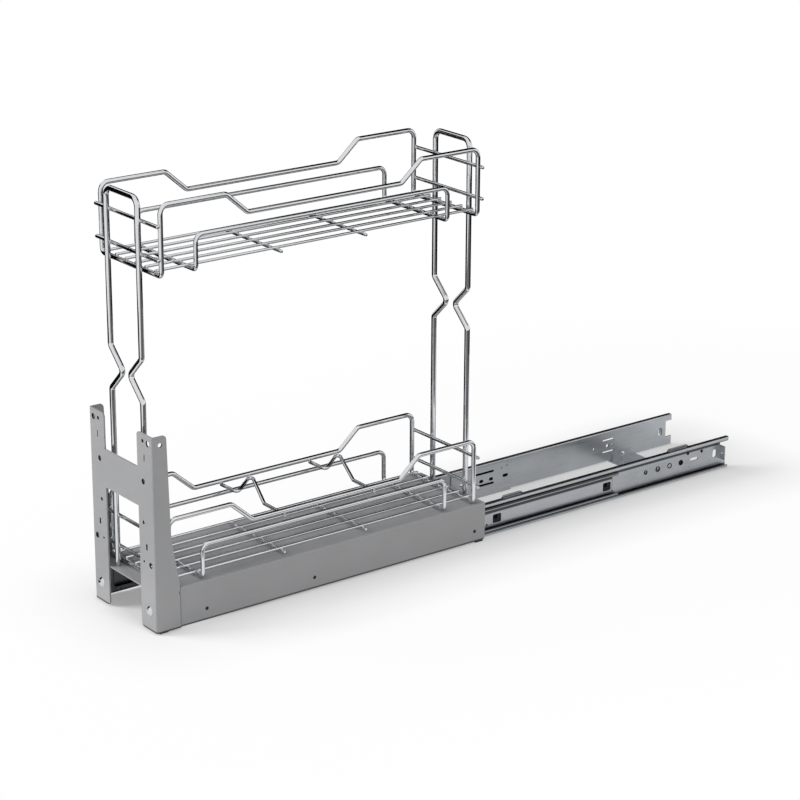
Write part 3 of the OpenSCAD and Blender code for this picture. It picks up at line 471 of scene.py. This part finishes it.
def oxide_finish(colours):
    """Black oxide of the runner screws, a little uneven"""
    f = new_finish("black_oxide")
    cast = f.noise(900.0, 2.0)
    f.set(
        Base_Color=f.blend(cast, colours.oxide, shade(colours.oxide, 1.6)), Metallic=0.5,
        Roughness=f.spread(cast, 0.3, 0.7, 0.35, 0.5), Normal=f.bump(cast, 0.05, 0.0001))
    return f.owner


def plastic_finish(colours):
    """Moulded black plastic with a fine grain"""
    f = new_finish("black_plastic")
    grain = f.noise(2600.0, 2.0)
    f.set(
        Base_Color=f.blend(f.spread(grain, 0.4, 0.7, 0.0, 1.0), colours.plastic, shade(colours.plastic, 1.8)),
        Roughness=f.spread(grain, 0.3, 0.7, 0.42, 0.58), Specular_IOR_Level=0.2,
        Normal=f.bump(grain, 0.1, 0.0001))
    return f.owner


FINISHES = {
    "chrome_wire": chrome_finish,
    "grey_paint": paint_finish,
    "bright_steel": steel_finish,
    "black_oxide": oxide_finish,
    "shaded_hole_walls": shaded_hole_finish,
    "black_plastic": plastic_finish,
}
made_finishes = {}


def finish_for(slot):
    if slot not in made_finishes:
        made_finishes[slot] = FINISHES[slot](bpy.context.scene.unit_colours)
    return made_finishes[slot]


# Pieces

# Degrees between the rings of a bend, and distances within which points are joined
BEND_STEP = 7.5
RING_MERGE = 2e-6
CAD_MERGE = 1e-6
# Rounded length of a wire's end and of a hanger's foot, as a share of the diameter
END_EDGE, HANGER_EDGE = 0.2, 0.04
# Neighbouring CAD faces that turn less than this are one flat face
FLAT_TURN = math.radians(0.4)
# A hole whose width and height differ by less is round
ROUND_WITHIN = 0.0002
COLLAR_SIDES = 20
# Facing of a hole's wall along the hole's own direction stays below this
ALONG = 0.3
# Half sizes of a weld bead: across, along and thick
ROD_WELD = (0.00185, 0.0022, 0.0006)
RIM_WELD = (0.0024, 0.0021, 0.0007)
HANGER_WELD = (0.0026, 0.0021, 0.0007)


def add_piece(name, mesh, body, slot, *nodes, finish=None):
    """Makes an object of a finished bmesh, which rides on a body and stands for its nodes"""
    data = bpy.data.meshes.new(name)
    mesh.to_mesh(data)
    mesh.free()
    piece = bpy.data.objects.new(name, data)
    bpy.context.scene.collection.objects.link(piece)
    data.materials.append(finish or finish_for(slot))
    data.shade_smooth()
    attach(piece, body)
    if nodes:
        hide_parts(*nodes)
    return piece


def grow(mesh, ring, offset, shrink=1.0):
    """Extrudes a ring of edges by an offset and shrinks it about its middle"""
    grown = bmesh.ops.extrude_edge_only(mesh, edges=ring)["geom"]
    verts = [g for g in grown if isinstance(g, bmesh.types.BMVert)]
    bmesh.ops.translate(mesh, verts=verts, vec=offset)
    if shrink != 1.0:
        middle = sum((v.co for v in verts), Vector()) / len(verts)
        bmesh.ops.scale(mesh, verts=verts, vec=(shrink,) * 3, space=Matrix.Translation(-middle))
    fresh = set(verts)
    return [g for g in grown if isinstance(g, bmesh.types.BMEdge) and fresh.issuperset(g.verts)]


def first_ring(mesh, at, direction, d, sides):
    facing = direction.to_track_quat("Z", "Y").to_matrix().to_4x4()
    made = bmesh.ops.create_circle(
        mesh, cap_ends=False, segments=sides, radius=d / 2, matrix=Matrix.Translation(at) @ facing)
    return list({edge for v in made["verts"] for edge in v.link_edges})


def round_end(mesh, ring, direction, d, edge):
    """Closes a wire's end with a rounded cut that takes the length of its edge"""
    angles = (30, 60, 88)
    reached, radius = 0.0, d / 2
    for angle in angles:
        out = edge * math.sin(math.radians(angle))
        narrowed = d / 2 - edge * (1 - math.cos(math.radians(angle)))
        ring = grow(mesh, ring, direction * (out - reached), narrowed / radius)
        reached, radius = out, narrowed
    bmesh.ops.contextual_create(mesh, geom=ring)


def wire(mesh, points, d, radii, sides, closed=False, edge_share=END_EDGE):
    """Round wire through corner points, with a bend at each corner"""
    points = [Vector(p) for p in points]
    n = len(points)

    def corner(i):
        before, at, after = points[(i - 1) % n], points[i % n], points[(i + 1) % n]
        into, out = (at - before).normalized(), (after - at).normalized()
        r = radii if isinstance(radii, float) else radii[i % n]
        angle = into.angle(out)
        return into, out, r, angle, r * math.tan(angle / 2)

    edge = d * edge_share
    direction = (points[1] - points[0]).normalized()
    start = points[0] + direction * (corner(0)[4] if closed else edge)
    ring = first_ring(mesh, start, direction, d, sides)
    if not closed:
        round_end(mesh, ring, -direction, d, edge)
    at = start
    for i in range(1, n + 1 if closed else n - 1):
        into, out, r, angle, cut = corner(i)
        bend_start = points[i % n] - into * cut
        ring = grow(mesh, ring, bend_start - at)
        inward = (out - into * into.dot(out)).normalized()
        turned = bmesh.ops.spin(
            mesh, geom=ring + list({v for e in ring for v in e.verts}), cent=bend_start + inward * r,
            axis=into.cross(out).normalized(), angle=angle,
            steps=max(3, round(math.degrees(angle) / BEND_STEP)), use_merge=False, use_duplicate=False)
        ring = [g for g in turned["geom_last"] if isinstance(g, bmesh.types.BMEdge)]
        at = points[i % n] + out * cut
    if closed:
        bmesh.ops.remove_doubles(mesh, verts=mesh.verts, dist=RING_MERGE)
    else:
        direction = (points[-1] - points[-2]).normalized()
        ring = grow(mesh, ring, points[-1] - direction * edge - at)
        round_end(mesh, ring, direction, d, edge)
    bmesh.ops.recalc_face_normals(mesh, faces=mesh.faces)


def straight_wires(name, node, runs, d, sides):
    """Straight wires from their start to their end points, as one piece"""
    mesh = bmesh.new()
    for start, end in runs:
        wire(mesh, [start, end], d, d, sides)
    add_piece(name, mesh, UNIT, "chrome_wire", node)


def middles(node, d):
    """Box of a wire node, drawn in to the middles of its wires"""
    low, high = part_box(node)
    half = Vector((d / 2,) * 3)
    return low + half, high - half


def rim_corners(node, sizes):
    low, high = middles(node, sizes.rim_d)
    slope = (high.z - low.z - sizes.rim_low_h) / math.tan(sizes.rim_slope)
    up, dip = high.z, low.z + sizes.rim_low_h
    front, rear = low.y + sizes.rim_end_len, high.y - sizes.rim_end_len
    profile = [
        (low.y, low.z), (low.y, up), (front, up), (front + slope, dip),
        (rear - slope, dip), (rear, up), (high.y, up), (high.y, low.z),
    ]
    radii = [sizes.bottom_r, sizes.rim_top_r] + 4 * [sizes.rim_slope_r] + [sizes.rim_top_r, sizes.bottom_r]
    corners = [(high.x, y, z) for y, z in profile] + [(low.x, y, z) for y, z in reversed(profile)]
    return corners, radii + radii


def guard_corners(node, sizes):
    low, high = middles(node, sizes.guard_d)
    profile = [(low.y, low.z), (low.y, high.z), (high.y, high.z), (high.y, low.z)]
    radii = [sizes.bottom_r, sizes.guard_top_r, sizes.guard_top_r, sizes.bottom_r]
    corners = [(high.x, y, z) for y, z in profile] + [(low.x, y, z) for y, z in reversed(profile)]
    return corners, radii + radii


def rod_runs(tier, sizes):
    low, high = middles(f"{tier}_floor_rods", sizes.rod_d)
    half = sizes.rod_d / 2
    pitch = (high.x - low.x) / (sizes.rods - 1)
    return [
        ((low.x + i * pitch, low.y - half, low.z), (low.x + i * pitch, high.y + half, low.z))
        for i in range(sizes.rods)
    ]


def across_runs(node, d, rows):
    """Wires across the basket at the box's corners, in one row or two"""
    low, high = middles(node, d)
    heights = (low.z, high.z)[:rows]
    return [((low.x - d / 2, y, z), (high.x + d / 2, y, z)) for y in (low.y, high.y) for z in heights]


class BASKET_OT_rims(bpy.types.Operator):
    """Bend the rim wire and the guard wire of both baskets"""
    bl_idname = "basket.rims"
    bl_label = "Rims and guards"

    def execute(self, context):
        sizes = context.scene.wire_sizes
        for tier in TIERS:
            for part, d, corners in (
                ("rim_wire", sizes.rim_d, rim_corners), ("guard_wire", sizes.guard_d, guard_corners)
            ):
                node = f"{tier}_{part}"
                points, radii = corners(node, sizes)
                mesh = bmesh.new()
                wire(mesh, points, d, radii, sizes.sides, closed=True)
                add_piece(f"{tier}_basket_{part}", mesh, UNIT, "chrome_wire", node)
        return {"FINISHED"}


class BASKET_OT_floors(bpy.types.Operator):
    """Lay the floor rods and the wires across both baskets"""
    bl_idname = "basket.floors"
    bl_label = "Floors and end wires"

    def execute(self, context):
        sizes = context.scene.wire_sizes
        for tier in TIERS:
            cross, end = f"{tier}_floor_cross_wires", f"{tier}_end_wires"
            laid = (
                ("floor_rods", f"{tier}_floor_rods", rod_runs(tier, sizes), sizes.rod_d),
                ("cross_wires", cross, across_runs(cross, sizes.cross_d, 1), sizes.cross_d),
                ("end_wires", end, across_runs(end, sizes.end_d, 2), sizes.end_d),
            )
            for name, node, runs, d in laid:
                straight_wires(f"{tier}_basket_{name}", node, runs, d, sizes.thin_sides)
        return {"FINISHED"}


class BASKET_OT_dividers(bpy.types.Operator):
    """Bend the two bottle dividers under the lower rim"""
    bl_idname = "basket.dividers"
    bl_label = "Bottle dividers"

    # Corners as shares of the basket's half width and of the divider's depth
    shares = ((-1.03, 0.0), (-0.48, 0.02), (-1.12, 1.0), (0.32, 0.12), (1.03, 0.1))

    def execute(self, context):
        sizes = context.scene.wire_sizes
        half_width = middles("lower_rim_wire", sizes.rim_d)[1].x
        for part in ("front_divider", "rear_divider"):
            low, high = middles(part, sizes.divider_d)
            level = (low.z + high.z) / 2
            points = [(x * half_width, low.y + y * sizes.divider_depth, level) for x, y in self.shares]
            mesh = bmesh.new()
            wire(mesh, points, sizes.divider_d, sizes.divider_r, sizes.sides)
            add_piece(f"{part}_wire", mesh, UNIT, "chrome_wire", part)
        return {"FINISHED"}


class BASKET_OT_hangers(bpy.types.Operator):
    """Bend the two hangers with their pinched waists"""
    bl_idname = "basket.hangers"
    bl_label = "Hangers"

    def execute(self, context):
        sizes = context.scene.wire_sizes
        for node in ("front_hanger", "rear_hanger"):
            low, high = middles(node, sizes.hanger_d)
            foot = low.z - sizes.hanger_d / 2
            waist = foot + sizes.waist_h
            leg = [
                (high.x, foot), (high.x, waist - sizes.waist_slope_h), (sizes.waist_in, waist),
                (high.x, waist + sizes.waist_slope_h), (high.x, high.z),
            ]
            points = [(-x, low.y, z) for x, z in leg] + [(x, low.y, z) for x, z in reversed(leg)]
            radii = [sizes.waist_r] * 4 + [sizes.hanger_top_r] * 2 + [sizes.waist_r] * 4
            mesh = bmesh.new()
            wire(mesh, points, sizes.hanger_d, radii, sizes.sides, edge_share=HANGER_EDGE)
            add_piece(f"{node}_wire", mesh, UNIT, "chrome_wire", node)
        return {"FINISHED"}


def weld(mesh, at, across, along, size):
    """Flattened bead in the crotch of two wires that cross"""
    thin = across.cross(along)
    turn = Matrix((across, along, thin)).transposed().to_4x4()
    bmesh.ops.create_uvsphere(
        mesh, u_segments=10, v_segments=6, radius=1.0,
        matrix=Matrix.Translation(at) @ turn @ Matrix.Diagonal((*size, 1.0)))


class BASKET_OT_welds(bpy.types.Operator):
    """Set a weld bead where the wires of a basket cross"""
    bl_idname = "basket.welds"
    bl_label = "Weld beads"

    def execute(self, context):
        sizes = context.scene.wire_sizes
        x_dir, y_dir, z_dir = Vector((1, 0, 0)), Vector((0, 1, 0)), Vector((0, 0, 1))
        for tier in TIERS:
            mesh = bmesh.new()
            rim_low, rim_high = middles(f"{tier}_rim_wire", sizes.rim_d)
            cross_low, cross_high = middles(f"{tier}_floor_cross_wires", sizes.cross_d)
            guard_low, guard_high = middles(f"{tier}_guard_wire", sizes.guard_d)
            under = rim_low.z + sizes.rim_d / 2
            # Floor rods on the rails, the guard and the cross wires
            for start, _ in rod_runs(tier, sizes):
                for y in (rim_low.y, cross_low.y, cross_high.y, rim_high.y, guard_low.y, guard_high.y):
                    weld(mesh, (start[0], y, under), x_dir, y_dir, ROD_WELD)
            # End wires on the rim's and the hangers' legs
            end_low, end_high = middles(f"{tier}_end_wires", sizes.end_d)
            hangers = {-1: middles("front_hanger", sizes.hanger_d), 1: middles("rear_hanger", sizes.hanger_d)}
            for side, y in ((-1, end_low.y), (1, end_high.y)):
                out = y + side * sizes.end_d / 2
                inner = y - side * sizes.end_d / 2
                for z in (end_low.z, end_high.z):
                    for x in (rim_low.x, rim_high.x):
                        weld(mesh, (x, inner, z), x_dir, z_dir, RIM_WELD)
                    leg_low, leg_high = hangers[side]
                    for x in (leg_low.x, leg_high.x):
                        weld(mesh, (x, out, z), x_dir, z_dir, HANGER_WELD)
            bmesh.ops.recalc_face_normals(mesh, faces=mesh.faces)
            add_piece(f"{tier}_basket_welds", mesh, UNIT, "chrome_wire")
        return {"FINISHED"}


def merged_copy(node):
    """A CAD node's mesh with its loose triangles joined"""
    mesh = bmesh.new()
    mesh.from_mesh(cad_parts[node].data)
    bmesh.ops.remove_doubles(mesh, verts=mesh.verts, dist=CAD_MERGE)
    return mesh


def dressed_copy(node, body, slot, edge=0.0, is_shaded=None, finish=None):
    """Merged copy of a CAD node with softened edges, smooth folds and hole walls darkened as painted shade"""
    smooth_below = bpy.context.scene.sheet_sizes.smooth_below
    mesh = merged_copy(node)
    bmesh.ops.dissolve_limit(
        mesh, angle_limit=FLAT_TURN, verts=mesh.verts, edges=mesh.edges, use_dissolve_boundaries=False)
    if is_shaded:
        for face in mesh.faces:
            face.material_index = int(is_shaded(face.calc_center_median(), face.normal))
    piece = add_piece(f"{node}_finished", mesh, body, slot, node, finish=finish)
    if is_shaded:
        piece.data.materials.append(finish_for("shaded_hole_walls"))
    piece.data.set_sharp_from_angle(angle=smooth_below)
    if edge:
        soften = piece.modifiers.new("soft_edges", "BEVEL")
        soften.width = edge
        soften.segments = 2
        soften.limit_method = "ANGLE"
        soften.angle_limit = smooth_below
        soften.use_clamp_overlap = True
        soften.harden_normals = True


def round_holes(node, in_hole):
    """Lowest and highest corners of a node's round holes along X, found from their wall faces"""
    mesh = merged_copy(node)
    left = {f.index: f for f in mesh.faces if in_hole(f.calc_center_median(), f.normal)}
    holes = []
    while left:
        reached = [left.pop(min(left))]
        for face in reached:
            beside = {f.index for edge in face.edges for f in edge.link_faces}
            reached += [left.pop(i) for i in sorted(beside) if i in left]
        spots = [v.co for face in reached for v in face.verts]
        low, high = (Vector(pick(axis) for axis in zip(*spots)) for pick in (min, max))
        if math.isclose(high.y - low.y, high.z - low.z, abs_tol=ROUND_WITHIN):
            holes.append((low, high))
    mesh.free()
    return holes


def hole_collars(node, body, slot, width, height, in_hole):
    """Low dark collars of painted shade round a node's punched holes, on the sheet's outer face"""
    mesh = bmesh.new()
    for low, high in round_holes(node, in_hole):
        middle, half = (low + high) / 2, (high - low) / 2
        out = Vector((math.copysign(1.0, middle.x), 0.0, 0.0))
        ring = first_ring(mesh, middle + out * half.x, out, 2 * half.y, COLLAR_SIDES)
        ring = grow(mesh, ring, out * height)
        ring = grow(mesh, ring, Vector(), 1 + width / half.y)
        grow(mesh, ring, -out * height)
    bmesh.ops.recalc_face_normals(mesh, faces=mesh.faces)
    collars = add_piece(f"{node}_collars", mesh, body, slot, finish=finish_for("shaded_hole_walls"))
    collars.data.set_sharp_from_angle(angle=bpy.context.scene.sheet_sizes.smooth_below)


class BASKET_OT_painted_sheet(bpy.types.Operator):
    """Finish the base frame and the door bracket in grey powder coat"""
    bl_idname = "basket.painted_sheet"
    bl_label = "Base frame and door bracket"

    def execute(self, context):
        sizes = context.scene.sheet_sizes
        low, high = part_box("door_bracket")
        clear = sizes.paint_corner
        holes_low, holes_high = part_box("runner_screws")
        spare = 0.001

        def in_bracket_hole(at, normal):
            on_leg = abs(normal.y) < ALONG and at.y < low.y + sizes.bracket_t
            at_side = abs(at.x) > high.x - sizes.bracket_t
            on_flange = at_side and abs(normal.x) < ALONG and at.y > low.y + clear
            inside = low.z + clear < at.z < high.z - clear
            leg_x = high.x - sizes.upright_w + sizes.bracket_t / 2 < abs(at.x) < high.x - 2 * sizes.bracket_t
            return inside and (on_leg and leg_x or on_flange and abs(at.y - low.y) < sizes.flange_d)

        def in_frame_hole(at, normal):
            across = abs(at.x) > holes_high.x - sizes.frame_t
            in_height = holes_low.z - spare < at.z < holes_high.z + spare
            return across and abs(normal.x) < ALONG and in_height

        # Painted shade: hole walls and collars take the dark finish
        dressed_copy("base_frame", UNIT, "grey_paint", sizes.paint_edge, in_frame_hole)
        dressed_copy("door_bracket", UNIT, "grey_paint", sizes.paint_edge, in_bracket_hole)
        hole_collars("base_frame", UNIT, "grey_paint", sizes.frame_rim_w, sizes.frame_rim_h, in_frame_hole)
        return {"FINISHED"}


class BASKET_OT_runners(bpy.types.Operator):
    """Finish the members and ball cages of both runners and the cross brackets"""
    bl_idname = "basket.runners"
    bl_label = "Runners"

    def execute(self, context):
        sizes, colours = context.scene.sheet_sizes, context.scene.unit_colours
        edge = sizes.zinc_edge
        cabinet_zinc = member_finish(colours, "cabinet", sizes.outer_track)
        middle_zinc = member_finish(colours, "middle", sizes.inner_track)
        # Drawer members and ball cages darkened as painted shade, the cages with grease too
        drawer_zinc = zinc_finish(colours, "zinc_drawer_member", DRAWER_SHADE_LEVEL)
        cage_zinc = zinc_finish(colours, "greased_and_shaded_ball_cage", CAGE_SHADE_LEVEL)
        bracket_zinc = bracket_finish(colours)
        low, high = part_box("cabinet_member_near")
        middle_z = (low.z + high.z) / 2

        def in_web_hole(at, normal):
            in_web = abs(at.x) < low.x + sizes.runner_t
            return in_web and abs(normal.x) < ALONG and abs(at.z - middle_z) < sizes.web_half_h

        for side in SIDES:
            members = (
                ("cabinet", "cabinet_side", in_web_hole, cabinet_zinc),
                ("middle", f"{side}_middle_member", None, middle_zinc),
                ("drawer", UNIT, None, drawer_zinc),
            )
            for kind, body, is_shaded, zinc in members:
                dressed_copy(f"{kind}_member_{side}", body, "zinc_steel", edge, is_shaded, zinc)
            hole_collars(
                f"cabinet_member_{side}", "cabinet_side", "zinc_steel", sizes.collar_w, sizes.collar_h,
                in_web_hole)
            for place in ("outer", "inner"):
                body = f"{side}_{place}_cage"
                dressed_copy(f"{place}_ball_cage_{side}", body, "zinc_steel", finish=cage_zinc)
                dressed_copy(f"{place}_balls_{side}", body, "bright_steel")
        for place in ("front", "rear"):
            dressed_copy(f"{place}_cross_bracket", "cabinet_side", "zinc_steel", edge, finish=bracket_zinc)
        return {"FINISHED"}


class BASKET_OT_hardware(bpy.types.Operator):
    """Finish the rivets, screws, glide pads and stop buffers"""
    bl_idname = "basket.hardware"
    bl_label = "Rivets, screws and plastic"

    def execute(self, context):
        edge = context.scene.sheet_sizes.small_edge
        dressed_copy("cross_bracket_rivets", "cabinet_side", "bright_steel", edge)
        for node in ("hanger_screws", "door_bracket_rivets"):
            dressed_copy(node, UNIT, "bright_steel", edge)
        dressed_copy("runner_screws", UNIT, "black_oxide", edge)
        dressed_copy("glide_pads", UNIT, "black_plastic", edge)
        for side in SIDES:
            dressed_copy(f"stop_buffers_{side}", f"{side}_middle_member", "black_plastic", edge)
        return {"FINISHED"}


# Stage

VIEW_FROM = Vector((2.4763, -2.1799, 1.2701))
VIEW_TO = Vector((0.22219, -0.46072, 0.28853))
VIEW_ROLL = math.radians(0.27)
VIEW_LENS_MM = 116.06
# Points that the lamps and the standing cards face
LIT_POINT = Vector((0.0, -0.24, 0.22))
CARD_POINT = (0.0, -0.45, 0.35)
BLACK, GREY = 0.004, 0.16
# Light of the world on surfaces, where 1 is white
WORLD_LIGHT = 0.25
FLOOR_SIZE = 16.0
# Distances from the unit at which the floor's shadow thins and ends
SHADOW_NEAR, SHADOW_END = 0.13, 0.7
# Share of plain white in the floor under the unit, and where the shadow thins
WHITE_AT_UNIT, WHITE_NEAR = 0.3, 0.92


def panel(name, width, height, at, facing):
    """Flat rectangle at a place, facing a point"""
    mesh = bmesh.new()
    turn = (Vector(facing) - Vector(at)).to_track_quat("Z", "Y").to_matrix().to_4x4()
    bmesh.ops.create_grid(mesh, x_segments=1, y_segments=1, size=0.5)
    bmesh.ops.scale(mesh, verts=mesh.verts, vec=(width, height, 1.0))
    bmesh.ops.transform(mesh, matrix=Matrix.Translation(at) @ turn, verts=mesh.verts)
    data = bpy.data.meshes.new(name)
    mesh.to_mesh(data)
    mesh.free()
    made = bpy.data.objects.new(name, data)
    bpy.context.scene.collection.objects.link(made)
    return made


def shown_rays(f):
    """1 for rays that show a surface: camera, glossy and transmission rays"""
    names = ("Is Camera Ray", "Is Glossy Ray", "Is Transmission Ray")
    camera, glossy, transmission = (f.node("ShaderNodeLightPath", output=name) for name in names)
    return camera + glossy + transmission


def floor_finish():
    """Pale floor that keeps part of the unit's shadow near it and shows as plain white further out"""
    f = new_finish("studio_floor")
    f.tree.nodes.remove(f.surface)
    low, high = CAD_BOUNDS
    middle = ((low[0] + high[0]) / 2, (low[1] + high[1]) / 2, 0.0)
    half = ((high[0] - low[0]) / 2, (high[1] - low[1]) / 2, 0.0)
    offset = f.vector("ABSOLUTE", f.vector("SUBTRACT", f.place((1.0, 1.0, 1.0)), middle))
    outside = f.vector("MAXIMUM", f.vector("SUBTRACT", offset, half), (0.0, 0.0, 0.0))
    away = f.node("ShaderNodeVectorMath", {"operation": "LENGTH"}, {0: outside}, output="Value")
    near = f.spread(away, 0.0, SHADOW_NEAR, WHITE_AT_UNIT, WHITE_NEAR)
    share = near + f.spread(away, SHADOW_NEAR, SHADOW_END, 0.0, 1.0 - WHITE_NEAR)
    matt = f.node("ShaderNodeBsdfDiffuse", {}, {"Color": (0.8, 0.8, 0.8)})
    white = f.node("ShaderNodeEmission", {}, {"Color": (1.0, 1.0, 1.0), "Strength": 1.0})
    mixed = f.node("ShaderNodeMixShader", {}, {0: shown_rays(f) * share, 1: matt, 2: white})
    f.feed(f.tree.nodes["Material Output"].inputs["Surface"], mixed)
    return f.owner


def card_finish(name, level):
    f = new_finish(name)
    f.set(Base_Color=(level, level, level), Roughness=1.0, Specular_IOR_Level=0.0)
    return f.owner


class BASKET_OT_stage(bpy.types.Operator):
    """Set the floor, the lights, the dark cards and the camera"""
    bl_idname = "basket.stage"
    bl_label = "Stage"

    # Soft boxes as (name, place, width, height, power)
    lights = (
        ("top_light", (0.2, -0.4, 2.3), 1.6, 1.6, 18.0),
        ("front_light", (-1.6, -2.6, 1.3), 1.4, 1.4, 88.0),
        ("side_light", (2.6, -0.6, 1.2), 1.4, 1.4, 26.0),
    )
    # Cards as (name, place, facing point, width, height, shade), seen only in reflections
    cards = (
        ("card_rear", (-0.85, 0.5, 0.95), CARD_POINT, 2.0, 2.0, BLACK),
        ("card_overhead", (0.3, 0.65, 1.5), CARD_POINT, 1.0, 0.9, BLACK),
        ("card_left", (-0.97, -1.32, 0.70), CARD_POINT, 1.1, 1.1, BLACK),
        ("card_floor_left", (-1.2, -0.675, 0.003), (-1.2, -0.675, 1.0), 2.2, 2.45, BLACK),
        ("card_floor_rear", (0.0, 1.35, 0.003), (0.0, 1.35, 1.0), 4.6, 1.6, BLACK),
        ("card_floor_right", (1.25, 0.375, 0.003), (1.25, 0.375, 1.0), 2.0, 0.35, BLACK),
        ("card_floor_front", (1.25, -0.55, 0.003), (1.25, -0.55, 1.0), 2.0, 1.5, GREY),
    )

    def execute(self, context):
        scene = context.scene
        scene.view_settings.view_transform = "Standard"

        floor = panel("studio_floor", FLOOR_SIZE, FLOOR_SIZE, (0.0, 0.0, 0.0), (0.0, 0.0, 1.0))
        floor.data.materials.append(floor_finish())

        for name, place, width, height, power in self.lights:
            data = bpy.data.lights.new(name, "AREA")
            data.shape = "RECTANGLE"
            data.size = width
            data.size_y = height
            data.energy = power
            lamp = bpy.data.objects.new(name, data)
            lamp.location = place
            lamp.rotation_euler = (LIT_POINT - Vector(place)).to_track_quat("-Z", "Y").to_euler()
            lamp.visible_glossy = False
            scene.collection.objects.link(lamp)

        for name, place, facing, width, height, level in self.cards:
            card = panel(name, width, height, place, facing)
            card.data.materials.append(card_finish(name, level))
            card.visible_camera = False
            card.visible_diffuse = False
            card.visible_shadow = False

        scene.world = bpy.data.worlds.new("studio_world")
        f = Finish(scene.world)
        level = f.spread(shown_rays(f), 0.0, 1.0, WORLD_LIGHT, 1.0)
        background = f.tree.nodes["Background"]
        background.inputs["Color"].default_value = (1.0, 1.0, 1.0, 1.0)
        f.feed(background.inputs["Strength"], level)

        data = bpy.data.cameras.new("photo_view")
        data.lens = VIEW_LENS_MM
        data.sensor_width = 36.0
        data.clip_end = 50.0
        camera = bpy.data.objects.new("photo_view", data)
        turn = (VIEW_TO - VIEW_FROM).to_track_quat("-Z", "Y").to_matrix().to_4x4()
        camera.matrix_world = Matrix.Translation(VIEW_FROM) @ turn @ Matrix.Rotation(VIEW_ROLL, 4, "Z")
        scene.collection.objects.link(camera)
        scene.camera = camera
        return {"FINISHED"}


STEPS = (
    BASKET_OT_rims, BASKET_OT_floors, BASKET_OT_dividers, BASKET_OT_hangers, BASKET_OT_welds,
    BASKET_OT_painted_sheet, BASKET_OT_runners, BASKET_OT_hardware, BASKET_OT_stage,
)


class BASKET_PT_sidebar(bpy.types.Panel):
    """Sizes, colours and steps of the basket unit"""
    bl_idname = "BASKET_PT_sidebar"
    bl_label = "Basket unit"
    bl_space_type = "VIEW_3D"
    bl_region_type = "UI"
    bl_category = "Basket unit"

    def draw(self, context):
        for settings in (context.scene.wire_sizes, context.scene.sheet_sizes, context.scene.unit_colours):
            column = self.layout.column(align=True)
            for name in settings.__annotations__:
                column.prop(settings, name)
        for step in STEPS:
            self.layout.operator(step.bl_idname)


CLASSES = (WireSizes, SheetSizes, UnitColours, *STEPS, BASKET_PT_sidebar)


def register():
    for item in CLASSES:
        bpy.utils.register_class(item)
    bpy.types.Scene.wire_sizes = PointerProperty(type=WireSizes)
    bpy.types.Scene.sheet_sizes = PointerProperty(type=SheetSizes)
    bpy.types.Scene.unit_colours = PointerProperty(type=UnitColours)


def unregister():
    del bpy.types.Scene.unit_colours
    del bpy.types.Scene.sheet_sizes
    del bpy.types.Scene.wire_sizes
    for item in reversed(CLASSES):
        bpy.utils.unregister_class(item)


def main():
    register()
    for step in STEPS:
        group, name = step.bl_idname.split(".")
        getattr(getattr(bpy.ops, group), name)()


if __name__ == "__main__":
    main()
